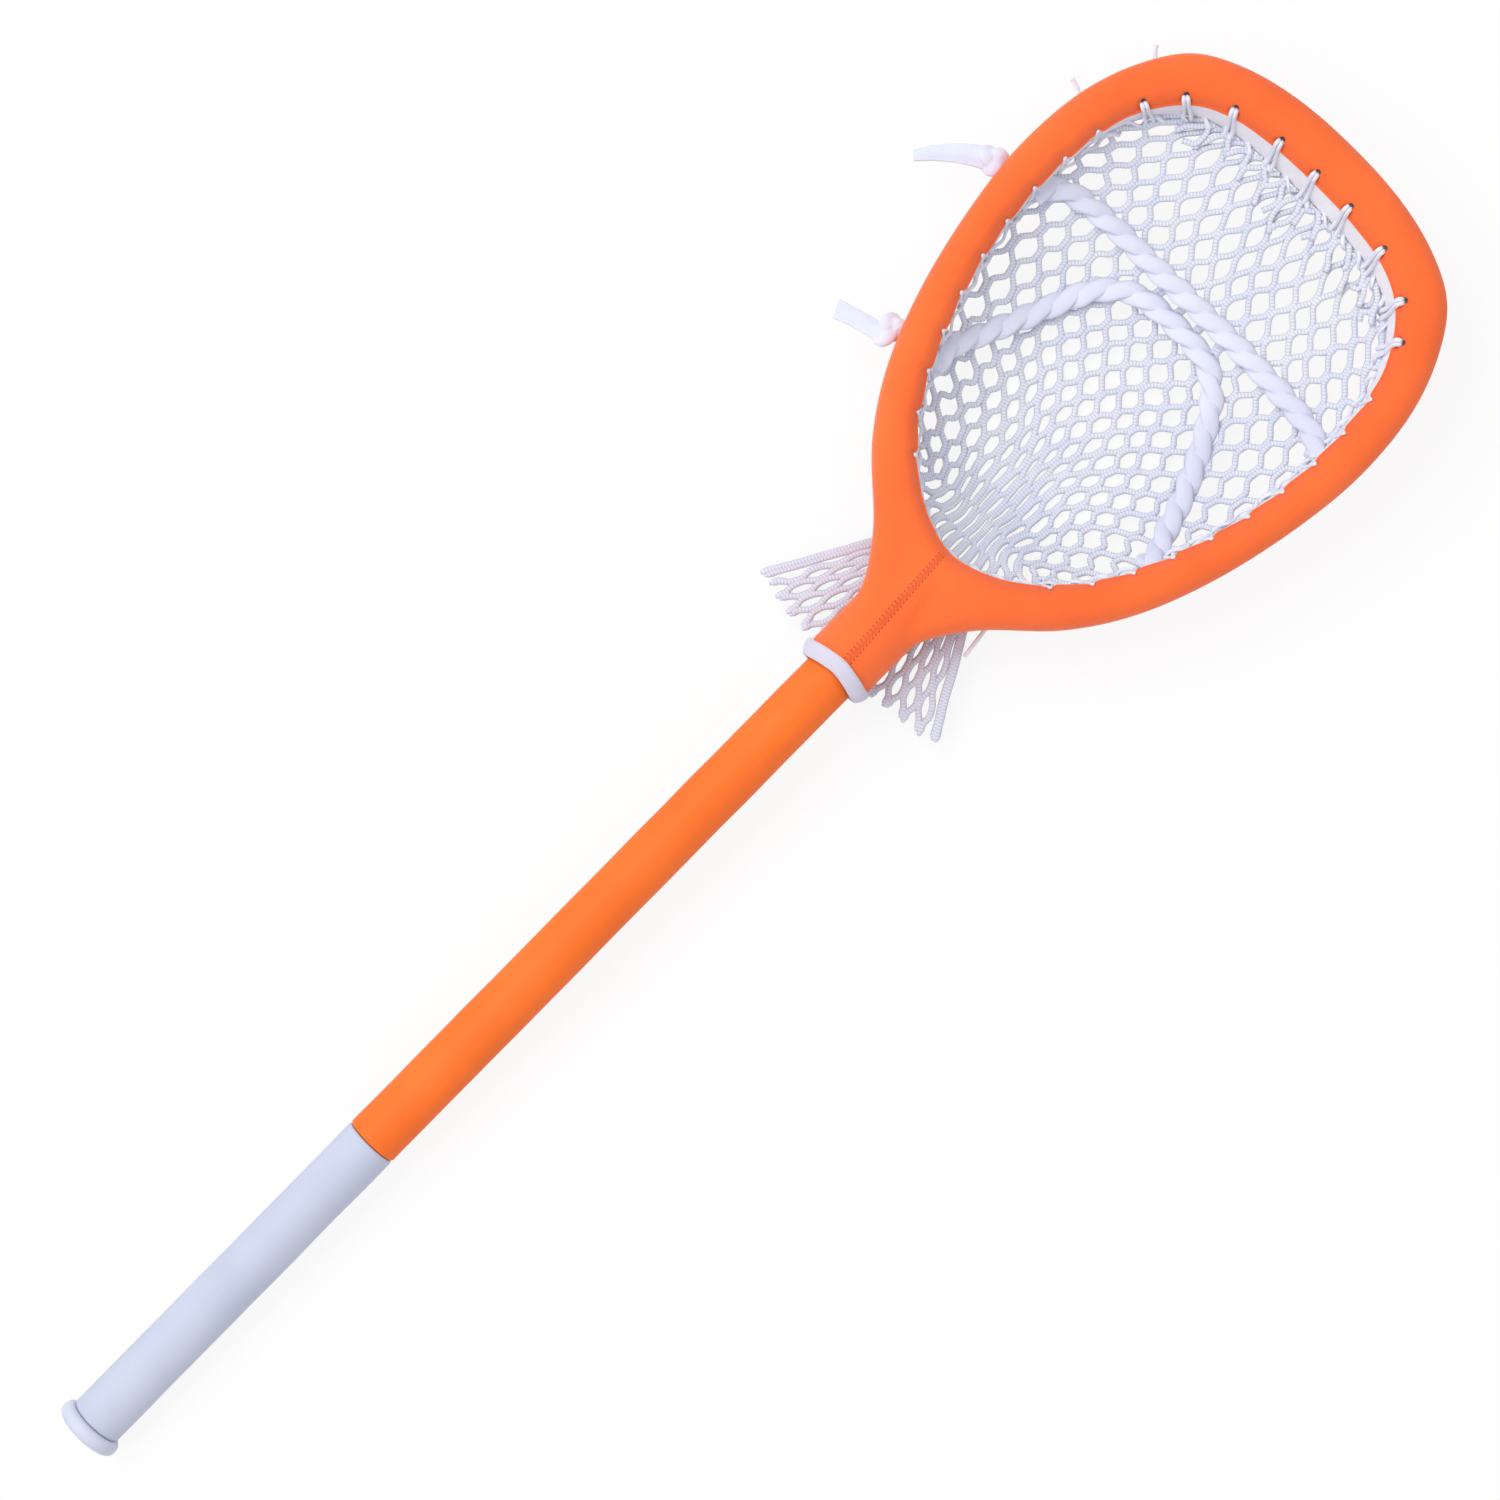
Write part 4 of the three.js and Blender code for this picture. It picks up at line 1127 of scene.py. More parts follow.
net_lines = [ribbed(net_cord(k)) for k in range(NET_CORDS)]
net_lines += [ribbed(folded_cord(k)) for k in range(FOLD_CORDS)]
net_mesh = ribbed_mesh(net_lines, CORD_WIDTH, CORD_THICKNESS)
pocket_cords = place_piece("pocket_cords", net_mesh, net_white)
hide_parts("pocket_net")
print("net: %d faces" % len(net_mesh.polygons))

# %% [markdown]
# ## Surplus of the net
# Below the throat the net runs on under the neck and ends cut. Freed from the hoop it opens like a
# fan on both sides of the neck. It is made in the same way as the pocket, on a fan-shaped surface.
# The two outer cords on each side run straight, as they do in a net with its edge cut off, and each
# cord ends in a small knob. It lies in the shade of the neck, so its finish is a shade deeper.

# %% Surplus of the net
TAIL_CORDS = 27
TAIL_HALF_ROWS = 7.3
TAIL_JOIN_SHARE = 0.34
TAIL_SPACING = 2.1 * MM
TAIL_CORD_WIDTH = 4.1 * MM
TAIL_STEPS = 59
TAIL_KNOB = 0.18
TAIL_KNOB_STEPS = 6
TAIL_ROOT_SPREAD = 25 * MM
TAIL_SPREAD = 77 * MM
TAIL_REACH = 92 * MM
TAIL_SAG = 5 * MM
TAIL_DROP_SHARE = 0.2
TAIL_ROOT_HEIGHT = -HALF_RAIL - 1.6 * MM
TAIL_HEIGHT = -NECK_RADIUS - 1.6 * MM
TAIL_CURL = 2.0 * MM


def tail_point(across, along):
    """A place on the fan: across from -1 to 1, along from the throat to the cut ends."""
    spread = TAIL_ROOT_SPREAD + (TAIL_SPREAD - TAIL_ROOT_SPREAD) * along
    reach = TAIL_REACH * (1 - 0.1 * across ** 2)
    drop = smooth_step(along / TAIL_DROP_SHARE)
    height = TAIL_ROOT_HEIGHT + (TAIL_HEIGHT - TAIL_ROOT_HEIGHT) * drop - TAIL_SAG * along ** 2
    return Vector((across * spread, THROAT_EDGE - reach * along, height))


def tail_cord(number):
    """The line of one cord of the fan, which ends in a knob beside its neighbour."""
    spacing = 2 / TAIL_CORDS
    middle = -1 + spacing * (number + 0.5)
    end = 1 - 0.025 * random.random()
    line = []
    for k in range(TAIL_STEPS + 1):
        along = end * k / TAIL_STEPS
        spread = TAIL_ROOT_SPREAD + (TAIL_SPREAD - TAIL_ROOT_SPREAD) * along
        reach = spacing / 2 * max(0.0, 1 - TAIL_SPACING / (spread * spacing))
        lean = swing(along * TAIL_HALF_ROWS + number, TAIL_JOIN_SHARE)
        if number in (0, 1, TAIL_CORDS - 2, TAIL_CORDS - 1):
            lean = 1 if number in (0, TAIL_CORDS - 2) else -1
        place = tail_point(middle + lean * reach, along)
        knob = 1 + TAIL_KNOB * smooth_step((k - TAIL_STEPS + TAIL_KNOB_STEPS) / 4)
        knob -= 0.35 * max(0, k - TAIL_STEPS + 2)
        line.append((place + wander(place, TAIL_CURL * along), knob))
    return line


tail_lines = [ribbed(tail_cord(k)) for k in range(TAIL_CORDS)]
tail_mesh = ribbed_mesh(tail_lines, TAIL_CORD_WIDTH, CORD_THICKNESS)
# The first colour is painted shade for the edges, underside and rib grooves; the whole finish is darker
# as painted shade from the neck.
surplus_white = braided("surplus_white", srgb(118, 126, 156), srgb(222, 228, 249), srgb(234, 238, 253))
surplus_cords = place_piece("surplus_cords", tail_mesh, surplus_white)
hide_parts("net_tail")
print("surplus: %d faces" % len(tail_mesh.polygons))

# %% [markdown]
# ## Routes of the shooting strings
# Two thick laces cross the pocket on top of the net: one nearly straight below the scoop, one in an
# arch round the deepest part. Each route is a list of places on the pocket, across and along. The
# line leaves the band on the left, follows the surface of the net, and ends at the band on the
# right, a little nearer the scoop than on the left.

# %% Routes of the shooting strings
STRING_RISE = 4.4 * MM
STRING_HEIGHT = -8 * MM
STRING_STEP = 1.5 * MM
STRING_CLIMB = 6 * MM
STRING_POINTS = 200
UPPER_HOLE = HEAD_START + 0.654 * HEAD_LENGTH
LOWER_HOLE = HEAD_START + 0.384 * HEAD_LENGTH
UPPER_ROUTE = [
    (-0.94, 0.7), (-0.851, 0.707), (-0.624, 0.708), (-0.292, 0.707), (0.027, 0.709), (0.355, 0.708),
    (0.624, 0.705), (0.811, 0.706), (0.94, 0.702),
]
LOWER_ROUTE = [
    (-0.93, 0.33), (-0.81, 0.381), (-0.65, 0.462), (-0.532, 0.535), (-0.42, 0.604), (-0.269, 0.648),
    (0.001, 0.661), (0.252, 0.65), (0.385, 0.618), (0.495, 0.567), (0.612, 0.503), (0.735, 0.432),
    (0.875, 0.355), (0.95, 0.325),
]


def crossing(loop, along):
    """The point on the right half of a loop at a place along the stick."""
    for start, end in zip(loop, loop[1:]):
        if start.x > 0 and start.y <= along < end.y:
            return start.lerp(end, (along - start.y) / (end.y - start.y))
    raise ValueError("no crossing at %.3f" % along)


def string_line(route, along):
    """The middle line of a shooting string, from the band on the left to the band on the right."""
    wall = crossing(INNER_LOOP, along).x - SIDE_LEAN
    line = [Vector((-wall, along, STRING_HEIGHT))]
    line += [net_point(across, place, STRING_RISE) for across, place in route]
    right = along + STRING_CLIMB
    line.append(Vector((crossing(INNER_LOOP, right).x - SIDE_LEAN, right, STRING_HEIGHT)))
    smooth = smooth_line(line, STRING_POINTS)
    length = sum((b - a).length for a, b in zip(smooth, smooth[1:]))
    return even_steps(smooth, int(length / STRING_STEP), closed=False), length


print("string holes at %.0f and %.0f mm" % (UPPER_HOLE / MM, LOWER_HOLE / MM))

# %% [markdown]
# ## Twisted strings
# Each string is a hollow lace folded in two and twisted, so it is drawn as two flat strands that wind
# round one line. The strands are thicker and thinner by turns, as soft lace is where it is pressed.

# %% Twisted strings
STRING_TWIST = 33 * MM
STRING_REACH = 2.2 * MM
STRING_FLATNESS = 0.8
STRAND_WIDTH = 10.4 * MM
STRAND_THICKNESS = 4.2 * MM
STRAND_CORNERS = 12
STRAND_SWELL = 0.08
STRAND_SWELL_SIZE = 9 * MM
string_white = cloth("string_white", srgb(216, 220, 242), srgb(230, 233, 250), 0.9 * MM, 0.1 * MM)


def strands(line, turns, phase=0.0):
    """Two strands that wind round a line."""
    pair = [[], []]
    for k, place in enumerate(line):
        ahead = line[min(k + 1, len(line) - 1)] - line[max(k - 1, 0)]
        side = Vector((ahead.y, -ahead.x, 0)).normalized()
        up = side.cross(ahead).normalized()
        turn = 2 * math.pi * turns * k / (len(line) - 1) + phase
        out = side * math.cos(turn) + up * math.sin(turn) * STRING_FLATNESS
        grip = 1 + STRAND_SWELL * noise.noise(place / STRAND_SWELL_SIZE)
        pair[0].append((place + out * STRING_REACH, grip))
        pair[1].append((place - out * STRING_REACH, grip))
    return pair


def shooting_string(name, node, route, along, phase):
    """A twisted string in a CAD node's place."""
    line, length = string_line(route, along)
    pair = strands(line, length / STRING_TWIST, phase)
    mesh = cord_mesh(pair, STRAND_WIDTH, STRAND_THICKNESS, STRAND_CORNERS)
    string = place_piece(name, mesh, string_white)
    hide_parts(node)
    print("%s: %.0f mm" % (name, length / MM))
    return string


shooting_string("upper_string", "upper_shooting_string", UPPER_ROUTE, UPPER_HOLE, 0.4)
shooting_string("lower_string", "lower_shooting_string", LOWER_ROUTE, LOWER_HOLE, 1.3)

# %% [markdown]
# ## Knots of the strings
# The strings leave through the left side of the hoop and are stopped there by a knot. The knot is an
# overhand one, so its line is a trefoil, drawn with a thick flat strand and pulled tight. A voxel
# remesh presses the turns together, and smoothing leaves the soft lump that such a knot is.

# %% Knots of the strings
UPPER_KNOT = UPPER_HOLE - 2.7 * MM
UPPER_STRETCH = (2.3 * MM, 1.9 * MM, 1.8 * MM)
LOWER_STRETCH = (1.8 * MM, 2.9 * MM, 1.8 * MM)
KNOT_STEPS = 96
KNOT_LOBES = 1.7
KNOT_STRAND = 9.4 * MM
KNOT_THICKNESS = 6.2 * MM
KNOT_RADIUS = 7.2 * MM
KNOT_HEIGHT = -3 * MM
KNOT_STAND = 0.85
KNOT_VOXEL = 0.5 * MM
KNOT_SMOOTHINGS = 14


def knot_centre(along):
    """The middle of a knot outside the left edge of the hoop."""
    edge = crossing(OUTER_LOOP, along)
    return Vector((-edge.x - KNOT_RADIUS * KNOT_STAND, along, KNOT_HEIGHT))


def stop_knot(name, node, along, turn, size):
    """A tight overhand knot outside the hoop, its turns pressed together by a remesh."""
    centre = knot_centre(along)
    line = []
    for k in range(KNOT_STEPS):
        t = 2 * math.pi * k / KNOT_STEPS
        local = Vector((math.sin(t) + KNOT_LOBES * math.sin(2 * t),
                        math.cos(t) - KNOT_LOBES * math.cos(2 * t), -math.sin(3 * t)))
        place = Matrix.Rotation(turn, 3, "Z") @ local
        line.append((centre + place * Vector(size), 1.0))
    strand = cord_mesh([line + line[:1]], KNOT_STRAND, KNOT_THICKNESS, STRAND_CORNERS)
    wound = bpy.data.objects.new(name, strand)
    pressed = wound.modifiers.new("pressed", "REMESH")
    pressed.mode = "VOXEL"
    pressed.voxel_size = KNOT_VOXEL
    bm = bmesh.new()
    bm.from_mesh(mesh_of(wound))
    smooth_all(bm, KNOT_SMOOTHINGS)
    knot = finish_mesh(name, bm, string_white)
    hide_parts(node)
    return knot


stop_knot("upper_knot", "upper_string_knot", UPPER_KNOT, 0.5, UPPER_STRETCH)
stop_knot("lower_knot", "lower_string_knot", LOWER_HOLE, 2.1, LOWER_STRETCH)
print("knots ready")

# %% [markdown]
# ## Free ends of the strings
# Beyond its knot the hollow lace lies flat as a ribbon, which sags, waves a little and ends in a
# slanting cut. The upper one narrows towards its end, and the lower one keeps its width.

# %% Free ends of the strings
LOWER_RIBBON = LOWER_HOLE - 4.5 * MM
RIBBON_WIDTH = 12 * MM
RIBBON_THICKNESS = 2.6 * MM
RIBBON_FOLD = 1.2 * MM
RIBBON_SAG = 9 * MM
RIBBON_WAVE = 0.7 * MM
RIBBON_WAVE_SIZE = 8 * MM
RIBBON_COLUMNS = 36
RIBBON_ROWS = 12


def ribbon_end(name, node, along, turn, length, widths, bend, slant):
    """The flat free end of a string: widths are shares at the knot, halfway and at the cut."""
    start = knot_centre(along)
    bm = bmesh.new()

    def place(far, across):
        """A place on the ribbon: far from the knot to the cut, across over its width."""
        heading = turn + bend * (far - 0.5)
        out = Vector((math.cos(heading), math.sin(heading), 0))
        side = Vector((-out.y, out.x, 0))
        share = widths[0] + (widths[1] - widths[0]) * min(1, far * 2) + (
            (widths[2] - widths[1]) * max(0, far * 2 - 1))
        reach = KNOT_RADIUS * 0.6 + (length + (across - 0.5) * slant) * far
        sag = -RIBBON_SAG * far ** 1.5
        fold = RIBBON_FOLD * math.sin((across - 0.2) * 2 * math.pi) * (1 - far * 0.6)
        spot = start + out * reach + side * (across - 0.5) * RIBBON_WIDTH * share
        spot.z += sag + fold + RIBBON_WAVE * noise.noise(spot / RIBBON_WAVE_SIZE)
        return spot

    lay_grid(bm, RIBBON_COLUMNS, RIBBON_ROWS, place)
    ribbon = finish_mesh(name, bm, string_white)
    wall = ribbon.modifiers.new("hollow_lace", "SOLIDIFY")
    wall.thickness = RIBBON_THICKNESS
    wall.offset = 0
    soft = ribbon.modifiers.new("soft_edge", "SUBSURF")
    soft.levels = 1
    soft.render_levels = 1
    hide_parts(node)
    return ribbon


ribbon_end("upper_ribbon", "upper_string_tail", UPPER_KNOT, math.radians(213.6), 42 * MM,
           (1.15, 0.9, 0.55), 0.2, -1 * MM)
ribbon_end("lower_ribbon", "lower_string_tail", LOWER_RIBBON, math.radians(192), 30 * MM,
           (0.95, 0.88, 1.0), 0.04, -3 * MM)
print("free ends of the strings ready")

# %% [markdown]
# ## Laces round the rim
# Thin lace binds the net to the band. Its line winds round the band's lower edge and draws that edge
# into small scallops, one at each turn. At the scoop it winds widely, and at the sides and the throat
# it stays closer to the band. Each of the four laces is a part of the same line.

# %% Laces round the rim
LACE_WIDTH = 2.8 * MM
LACE_THICKNESS = 1.9 * MM
LACE_STEP = 1.0 * MM
LACE_OFFSET = 1.5 * MM
LACE_WRAP = 2.2 * MM
SIDE_WRAP_SHARE = 0.4
LACE_RISE = 2.7 * MM
LACE_CORNERS = 10
TOP_LACE_SHARE = 0.345
lace_white = cloth("lace_white", srgb(230, 233, 248), srgb(242, 243, 252), 0.6 * MM, 0.06 * MM)


def rim_lace(from_share, to_share):
    """A lace whipped round the edge of the net and through the band."""
    count = int(abs(to_share - from_share) * INNER_LENGTH / LACE_STEP)
    line = []
    for k in range(count + 1):
        share = from_share + (to_share - from_share) * k / count
        turn = share * INNER_LENGTH / BAND_PITCH * 2 * math.pi
        wrap = LACE_WRAP * (1 if TOP_LACE_SHARE < share < 1 - TOP_LACE_SHARE else SIDE_WRAP_SHARE)
        inward = band_lean(share) + LACE_OFFSET + wrap * math.cos(turn)
        line.append((hoop_point(share, inward, NET_RIM + LACE_RISE * math.sin(turn)), 1.0))
    return line


def lace_piece(name, node, lines):
    """A piece of thin lace in a CAD node's place."""
    mesh = cord_mesh(lines, LACE_WIDTH, LACE_THICKNESS, LACE_CORNERS, "MINIMUM")
    piece = place_piece(name, mesh, lace_white)
    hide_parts(node)
    return piece


right_line = rim_lace(THROAT_CORNER_SHARE, TOP_LACE_SHARE)
left_line = rim_lace(1 - TOP_LACE_SHARE, 1 - THROAT_CORNER_SHARE)
low_line = rim_lace(-THROAT_CORNER_SHARE, THROAT_CORNER_SHARE)
print("points of the side laces: %d and %d" % (len(right_line), len(left_line)))

# %% [markdown]
# ## Loops of the scoop lace
# Along the scoop the lace climbs the band in doubled loops that bend over the padding and dive into
# the holes of the cover. Each loop leans a little to one side, and its two runs come together at the
# hole.

# %% Loops of the scoop lace
LOOP_GAP = 2.2 * MM
LOOP_LEAN = 4.2 * MM
LOOP_TURNS = (0, 18, 34)
LOOP_CLEAR = LACE_THICKNESS / 2 + 0.3 * MM
LOOP_POINTS = 44


def scoop_loop(share):
    """The two runs of a loop, from the net up the band, over the edge and into its hole."""
    bend_height = HALF_RAIL - PAD_ROUND
    bend = PAD_ROUND + LOOP_CLEAR
    runs = []
    for side in (-1, 1):
        lean = -LOOP_LEAN / INNER_LENGTH
        spread = side * LOOP_GAP / 2 / INNER_LENGTH
        low = band_lean(share)
        wall = band_face(share, -4 * MM) + LOOP_CLEAR
        points = [hoop_point(share + lean * 1.2 + spread * 2.6, low + 3.4 * MM, NET_RIM - 2 * MM),
                  hoop_point(share + lean + spread * 2.2, low + 2.6 * MM, NET_RIM + 3 * MM),
                  hoop_point(share + lean * 0.7 + spread * 1.7, wall, -4 * MM)]
        for degrees in LOOP_TURNS:
            turn = math.radians(degrees)
            left = 1 - degrees / LOOP_TURNS[-1]
            points.append(hoop_point(share + lean * 0.3 * left + spread * 1.2,
                                     bend * math.cos(turn) - PAD_ROUND,
                                     bend * math.sin(turn) + bend_height))
        points.append(hoop_point(share + spread, -HOLE_INSET + 0.5 * MM, HALF_RAIL - 4.6 * MM))
        points.append(hoop_point(share + spread, -HOLE_INSET - 0.6 * MM, HALF_RAIL - 8 * MM))
        runs.append([(place, 1.0) for place in smooth_line(points, LOOP_POINTS)])
    return runs


scoop_lines = [rim_lace(TOP_LACE_SHARE, 1 - TOP_LACE_SHARE)]
for share in loop_shares:
    scoop_lines += scoop_loop(share)
lace_piece("scoop_lace", "top_lace", scoop_lines)
lace_piece("throat_cord", "throat_lace", [low_line])
lace_piece("right_lace", "right_side_lace", [right_line])
lace_piece("left_lace", "left_side_lace", [left_line])
print("scoop loops: %d" % len(loop_shares))

# %% [markdown]
# ## Hem of the cover
# The cloth ends at the band in a narrow rolled hem, above and below. The hem is a thin cord on the
# cut edge, drawn in wherever the side lace turns over it.

# %% Hem of the cover
HEM_WIDTH = 2.2 * MM
HEM_PITCH = 2 * MM
HEM_SINK = 0.2 * MM
hem_lines = []
for height in (SLIT_TOP, SLIT_BOTTOM):
    count = int(INNER_LENGTH / HEM_PITCH)
    hem = []
    for k in range(count + 1):
        share = k / count
        out = max(0.0, abs(height) - (HALF_RAIL - PAD_ROUND))
        inset = -PAD_ROUND + math.sqrt(PAD_ROUND ** 2 - out ** 2) - HEM_SINK
        inset -= scallop(share) * smooth_step(height / SCALLOP_FADE + 1)
        hem.append((hoop_point(share, inset, height), 1.0))
    hem_lines.append(hem)
hem_mesh = cord_mesh(hem_lines, HEM_WIDTH, HEM_WIDTH, LACE_CORNERS, "MINIMUM")
cover_hem = place_piece("cover_hem", hem_mesh, cover_orange)
print("hem: %d points" % sum(len(hem) for hem in hem_lines))

# %% [markdown]
# ## Turns of the side lace
# The side lace is whipped over the hem, so white points of it peep out along the inner edge of the
# cover. Each turn is one short line that comes up the band, goes over the hem and back down a little
# further on.

# %% Turns of the side lace
TURN_WIDTH = 1.8 * MM
TURN_THICKNESS = 1.5 * MM
TURN_LEAN = 3 * MM
TURN_POINTS = 30


def turn_shares():
    """Where the side lace turns over the hem, on both sides of the hoop."""
    right = [(TURN_START + k * TURN_PITCH) / INNER_LENGTH for k in range(TURN_COUNT)]
    return right + [1 - share for share in right]


turn_lines = []
for share in turn_shares():
    lean = TURN_LEAN / INNER_LENGTH * (1 if share < 0.5 else -1)
    back = SCALLOP_DEPTH * 0.9
    points = [
        hoop_point(share - lean, band_face(share, -5 * MM) + MM, -5 * MM),
        hoop_point(share - lean * 0.6, 1.0 * MM - back / 2, 3 * MM),
        hoop_point(share - lean * 0.25, 1.0 * MM - back, 8.5 * MM),
        hoop_point(share, 0.2 * MM - back, 10.6 * MM),
        hoop_point(share + lean * 0.25, 0.8 * MM - back, 8.8 * MM),
        hoop_point(share + lean, band_face(share, -2 * MM) + 0.8 * MM, -2 * MM),
    ]
    turn_lines.append([(place, 1.0) for place in smooth_line(points, TURN_POINTS)])
turn_mesh = cord_mesh(turn_lines, TURN_WIDTH, TURN_THICKNESS, 8, "MINIMUM")
lace_turns = place_piece("lace_turns", turn_mesh, lace_white)
print("turns of the side lace: %d" % len(turn_lines))

# %% [markdown]
# ## Collar
# An elastic hem of white webbing holds the cover to the neck. Its rims roll outwards, it flares a
# little at the sides, and its front peaks towards the head where the seam of the cover pulls on it.

# %% Collar
COLLAR_SECTION = [(19.6, 1.6), (19.9, 0.4), (20.9, 0.5), (22.2, 2.0), (23.6, 4.4), (24.5, 7.0),
                  (24.4, 9.0), (23.7, 10.3)]
COLLAR_PEAK = 3.4 * MM
PEAK_REACH = 1.05
PEAK_ROUND = 0.18
COLLAR_COLUMNS = 128
COLLAR_ROWS = 24
COLLAR_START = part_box("throat_collar")[0][1]
collar_white = cloth("collar_white", srgb(200, 197, 220), srgb(216, 212, 230), 0.8 * MM, 0.1 * MM)
section_line = [Vector((radius, place, 0)) * MM for radius, place in COLLAR_SECTION]
collar_line = smooth_line(section_line, COLLAR_ROWS)


def collar_point(around, share):
    """A place on the collar, which bulges over the end of the cover and peaks in front."""
    turn = 2 * math.pi * around
    section = collar_line[round(share * COLLAR_ROWS)]
    away = math.hypot(math.remainder(turn, 2 * math.pi), PEAK_ROUND)
    front = max(0.0, PEAK_REACH - away) / (PEAK_REACH - PEAK_ROUND)
    ripple = 0.2 * MM * noise.noise(Vector((math.cos(turn), math.sin(turn), share)) * 2.2)
    radius = section.x + ripple
    place = COLLAR_START + section.y + COLLAR_PEAK * front
    return Vector((radius * math.sin(turn), place, radius * math.cos(turn)))


bm = bmesh.new()
lay_grid(bm, COLLAR_COLUMNS, COLLAR_ROWS, collar_point)
collar = finish_mesh("neck_collar", bm, collar_white)
wall = collar.modifiers.new("webbing", "SOLIDIFY")
wall.thickness = BAND_THICKNESS
wall.offset = -1
rims = collar.modifiers.new("soft_rim", "SUBSURF")
rims.levels = 1
rims.render_levels = 1
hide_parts("throat_collar")
print("collar: %.1f mm across" % (collar.dimensions.x / MM))

# %% [markdown]
# ## Throat seam
# The two halves of the cover are joined down the front of the neck by an overlocked seam: two rows of
# short stitches with a zigzag between them, in a thread a shade darker than the cloth. Each stitch is
# a short arc of thread laid on the cover's own surface, which a ray cast from above finds.

# %% Throat seam
SEAM_START = COVER_START + 1.5 * MM
SEAM_END = THROAT_EDGE - 1.2 * MM
SEAM_WIDTH = 5.2 * MM
SEAM_HEAD_WIDTH = 3.6 * MM
SEAM_FOOT = 1.0 * MM
SEAM_DRIFT = -4.4 * MM
STITCH_PITCH = 2.7 * MM
THREAD = 0.8 * MM
PRICK_WIDTH = 0.95 * MM
PRICK_DEPTH = 0.5 * MM
seam_orange = cloth("seam_orange", srgb(226, 92, 40), srgb(240, 104, 50), 0.4 * MM, 0.05 * MM)
prick_orange = cloth("prick_orange", srgb(168, 58, 18), srgb(184, 68, 24), 0.4 * MM, 0.05 * MM)
graph = bpy.context.evaluated_depsgraph_get()
cover_seen = head_cloth.evaluated_get(graph)


def on_cover(across, along, lift=0.0):
    """A place on the front of the cover."""
    hit, place, _, _ = cover_seen.ray_cast(Vector((across, along, 0.1)), Vector((0, 0, -1)))
    return Vector((across, along, (place.z if hit else HALF_RAIL) + lift))


def seam_place(along, side):
    """A place on the seam: side is -1, 0 or 1."""
    share = (along - SEAM_START) / (SEAM_END - SEAM_START)
    width = SEAM_WIDTH + (SEAM_HEAD_WIDTH - SEAM_WIDTH) * share
    return SEAM_FOOT + SEAM_DRIFT * share + side * width / 2


def stitch(corners, lift):
    """A line on the cover through (place, side) corners."""
    return [(on_cover(seam_place(along, side), along, lift), 1.0) for along, side in corners]


prick_lines, thread_lines = [], []
for k in range(int((SEAM_END - SEAM_START) / STITCH_PITCH)):
    start = SEAM_START + k * STITCH_PITCH
    after = start + STITCH_PITCH
    for side in (-1, 1):
        prick_lines.append(stitch([(start - 0.5 * MM, side), (start + 0.6 * MM, side)], -0.15 * MM))
    over = [(start, -0.85), (start + STITCH_PITCH * 0.25, 0), (start, 0.85)]
    back = [(start, 0.85), (start + STITCH_PITCH * 0.7, 0.1), (after, -0.85)]
    thread_lines += [stitch(over, 0.1 * MM), stitch(back, 0.2 * MM)]
thread_mesh = cord_mesh(thread_lines, THREAD, THREAD, 6, "MINIMUM")
seam = place_piece("seam_thread", thread_mesh, seam_orange)
prick_mesh = cord_mesh(prick_lines, PRICK_WIDTH, PRICK_DEPTH, 6)
place_piece("seam_pricks", prick_mesh, prick_orange)
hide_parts("throat_seam")
print("stitches: %d" % len(thread_lines))

# %% [markdown]
# ## Free ends of the thin laces
# Three thin laces end behind the cover, and their cut ends show past its edge. The longest hangs at
# the throat.

# %% Free ends of the thin laces
THIN_WIDTH = 2.6 * MM
THIN_HEIGHT = -HALF_RAIL - 0.3 * MM - THIN_WIDTH / 2
THIN_LENGTH = 24 * MM
THROAT_END_LENGTH = 38 * MM
THIN_POINTS = 24
FRAY_START = 0.9
FRAY_SWELL = 2.5


def thin_end(side, share, turn, length, curl):
    """The line of a cut end that lies across the edge of the cover."""
    edge = crossing(OUTER_LOOP, HEAD_START + share * HEAD_LENGTH)
    middle = Vector((side * edge.x, edge.y, THIN_HEIGHT))
    out = Vector((math.cos(turn), math.sin(turn), 0))
    across = Vector((-out.y, out.x, 0))
    points = []
    for k in range(THIN_POINTS + 1):
        far = k / THIN_POINTS - 0.5
        points.append(middle + out * length * far + across * curl * math.sin(far * math.pi * 1.5))
    return points


def frayed(points):
    """Thickness shares along a cut end, which opens at its tip."""
    return [(place, 1.0 + FRAY_SWELL * max(0.0, k / THIN_POINTS - FRAY_START))
            for k, place in enumerate(points)]


for name, node, side, share, degrees, curl in (
    ("scoop_end", "scoop_lace_end", -1, 0.905, 131, 1.2 * MM),
    ("side_end", "side_lace_end", -1, 0.8, 163, -1.0 * MM),
):
    mesh = cord_mesh([frayed(thin_end(side, share, math.radians(degrees), THIN_LENGTH, curl))],
                     THIN_WIDTH, THIN_WIDTH * 0.8, LACE_CORNERS, "MINIMUM")
    piece = place_piece(name, mesh, lace_white)
    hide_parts(node)

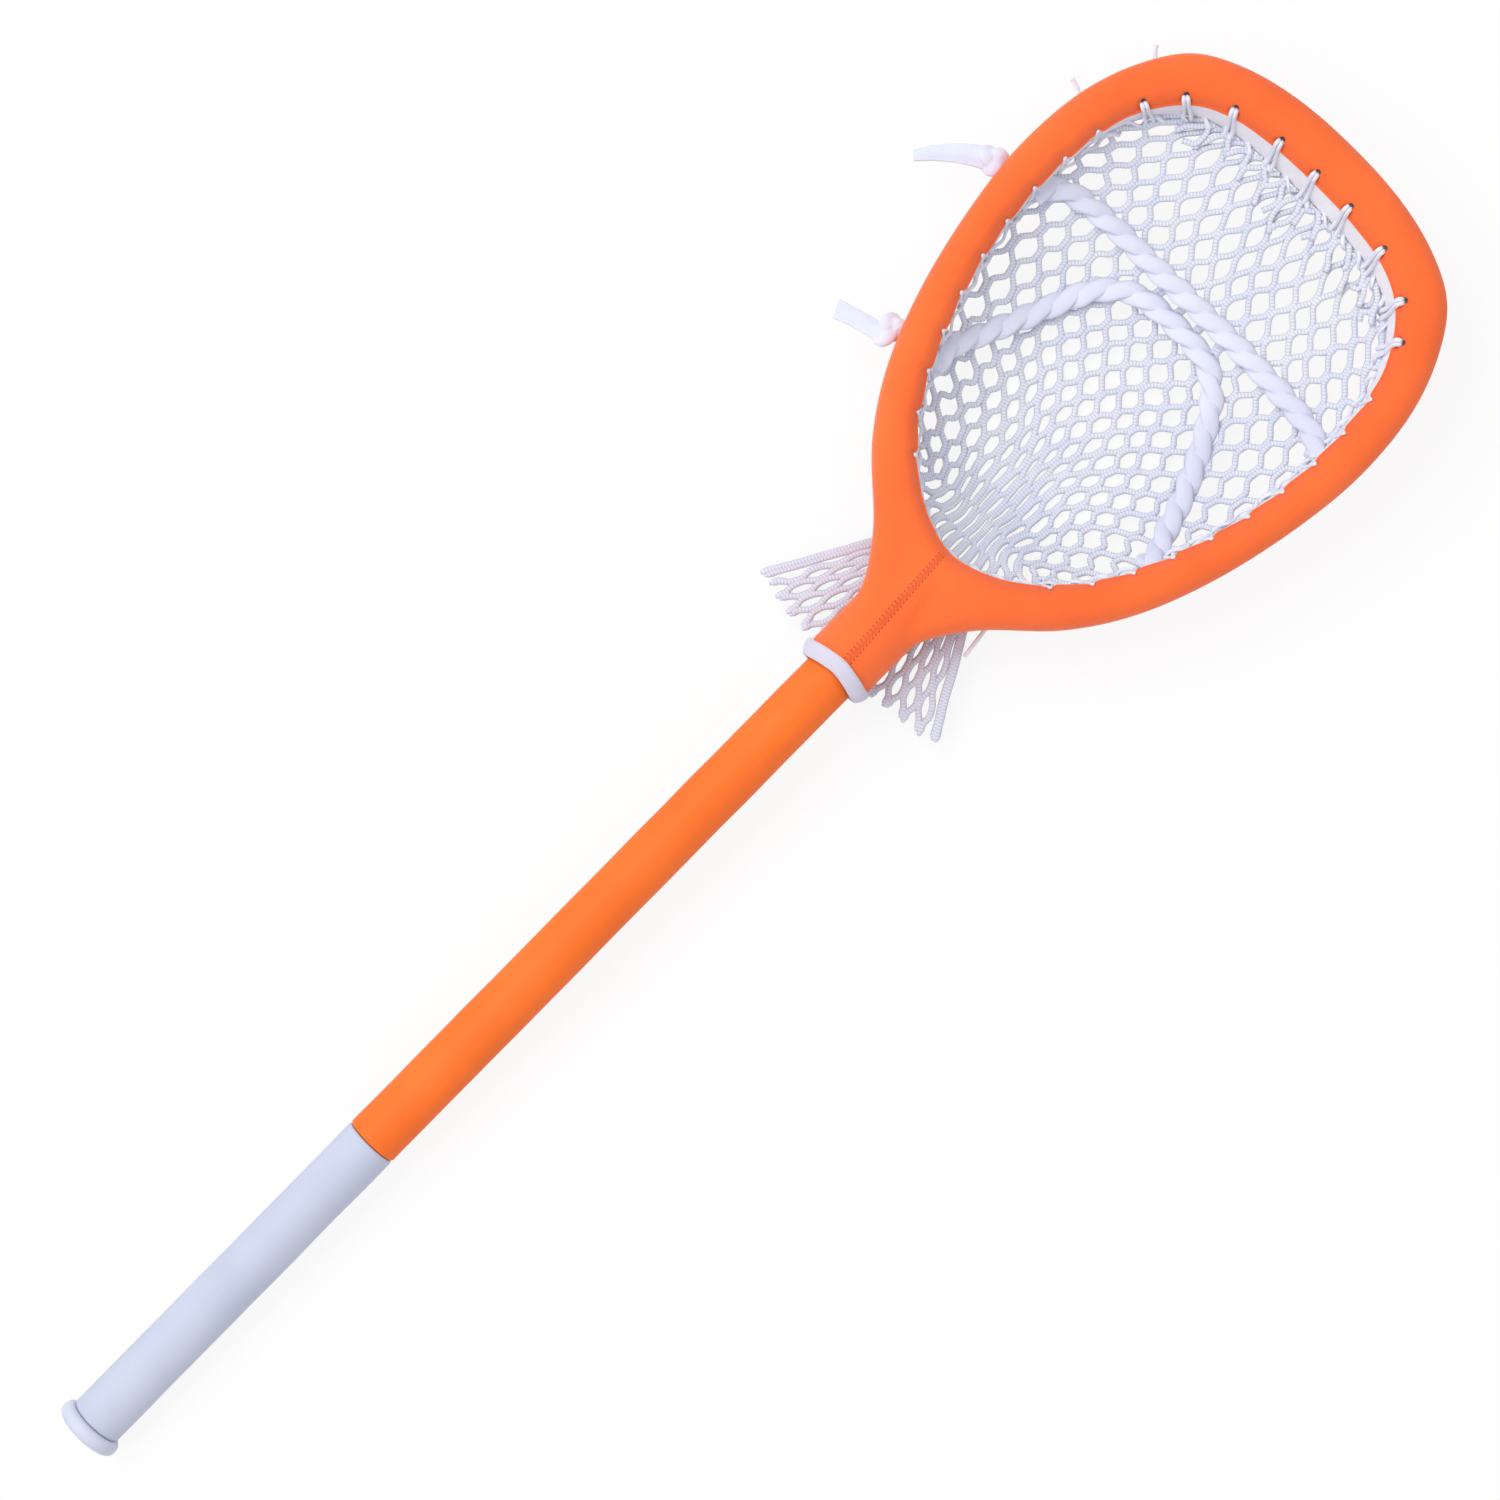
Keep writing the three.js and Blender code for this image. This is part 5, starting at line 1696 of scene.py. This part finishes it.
throat_points = thin_end(1, 0.183, math.radians(277), THROAT_END_LENGTH, 0.0)
throat_line = [(place, 1.0) for place in throat_points]
mesh = cord_mesh([throat_line], THIN_WIDTH, THIN_WIDTH, STRAND_CORNERS, "MINIMUM")
throat_end = place_piece("throat_end", mesh, lace_white)
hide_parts("throat_lace_end")
print("free end at the throat: %.0f mm" % (THROAT_END_LENGTH / MM))

# %% [markdown]
# ## Hidden parts
# The plastic frame, its foam rings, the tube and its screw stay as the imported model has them. They
# only show through the lacing holes and behind the band, but they get real finishes too: moulded
# plastic with a fine grain, open foam, drawn aluminium with lines along it, and zinc-plated steel.

# %% Hidden parts
frame_plastic = foam("frame_plastic", srgb(40, 42, 48), srgb(58, 60, 66), 0.6 * MM, 0.02 * MM, 0.45)
padding_foam = foam("padding_foam", srgb(70, 72, 78), srgb(96, 98, 104), 0.9 * MM, 0.15 * MM, 0.95)
tube_metal, tree, shader = new_material("tube_metal", srgb(196, 200, 206), 0.32)
shader.inputs["Metallic"].default_value = 1.0
vary_tone(tree, shader, srgb(184, 188, 196), srgb(206, 210, 216))
lines = add_node(tree, "ShaderNodeTexNoise", Scale=900.0, Detail=2.0)
stretch = add_node(tree, "ShaderNodeMapping", Scale=(1.0, 0.01, 1.0))
tree.links.new(object_place(tree), stretch.inputs["Vector"])
tree.links.new(stretch.outputs["Vector"], lines.inputs["Vector"])
add_relief(tree, shader, lines.outputs["Fac"], 0.02 * MM)
screw_steel, tree, shader = new_material("screw_steel", srgb(168, 170, 176), 0.3)
shader.inputs["Metallic"].default_value = 1.0
vary_tone(tree, shader, srgb(150, 152, 158), srgb(182, 184, 190), 3 * MM)
add_relief(tree, shader, grain_height(tree, 0.3 * MM), 0.01 * MM)
for node, material in (
    ("head_frame", frame_plastic), ("front_padding", padding_foam), ("back_padding", padding_foam),
    ("handle_tube", tube_metal), ("head_screw", screw_steel),
):
    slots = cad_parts[node].material_slots
    for k in range(len(slots)):
        slots[k].material = material
print("hidden parts finished")
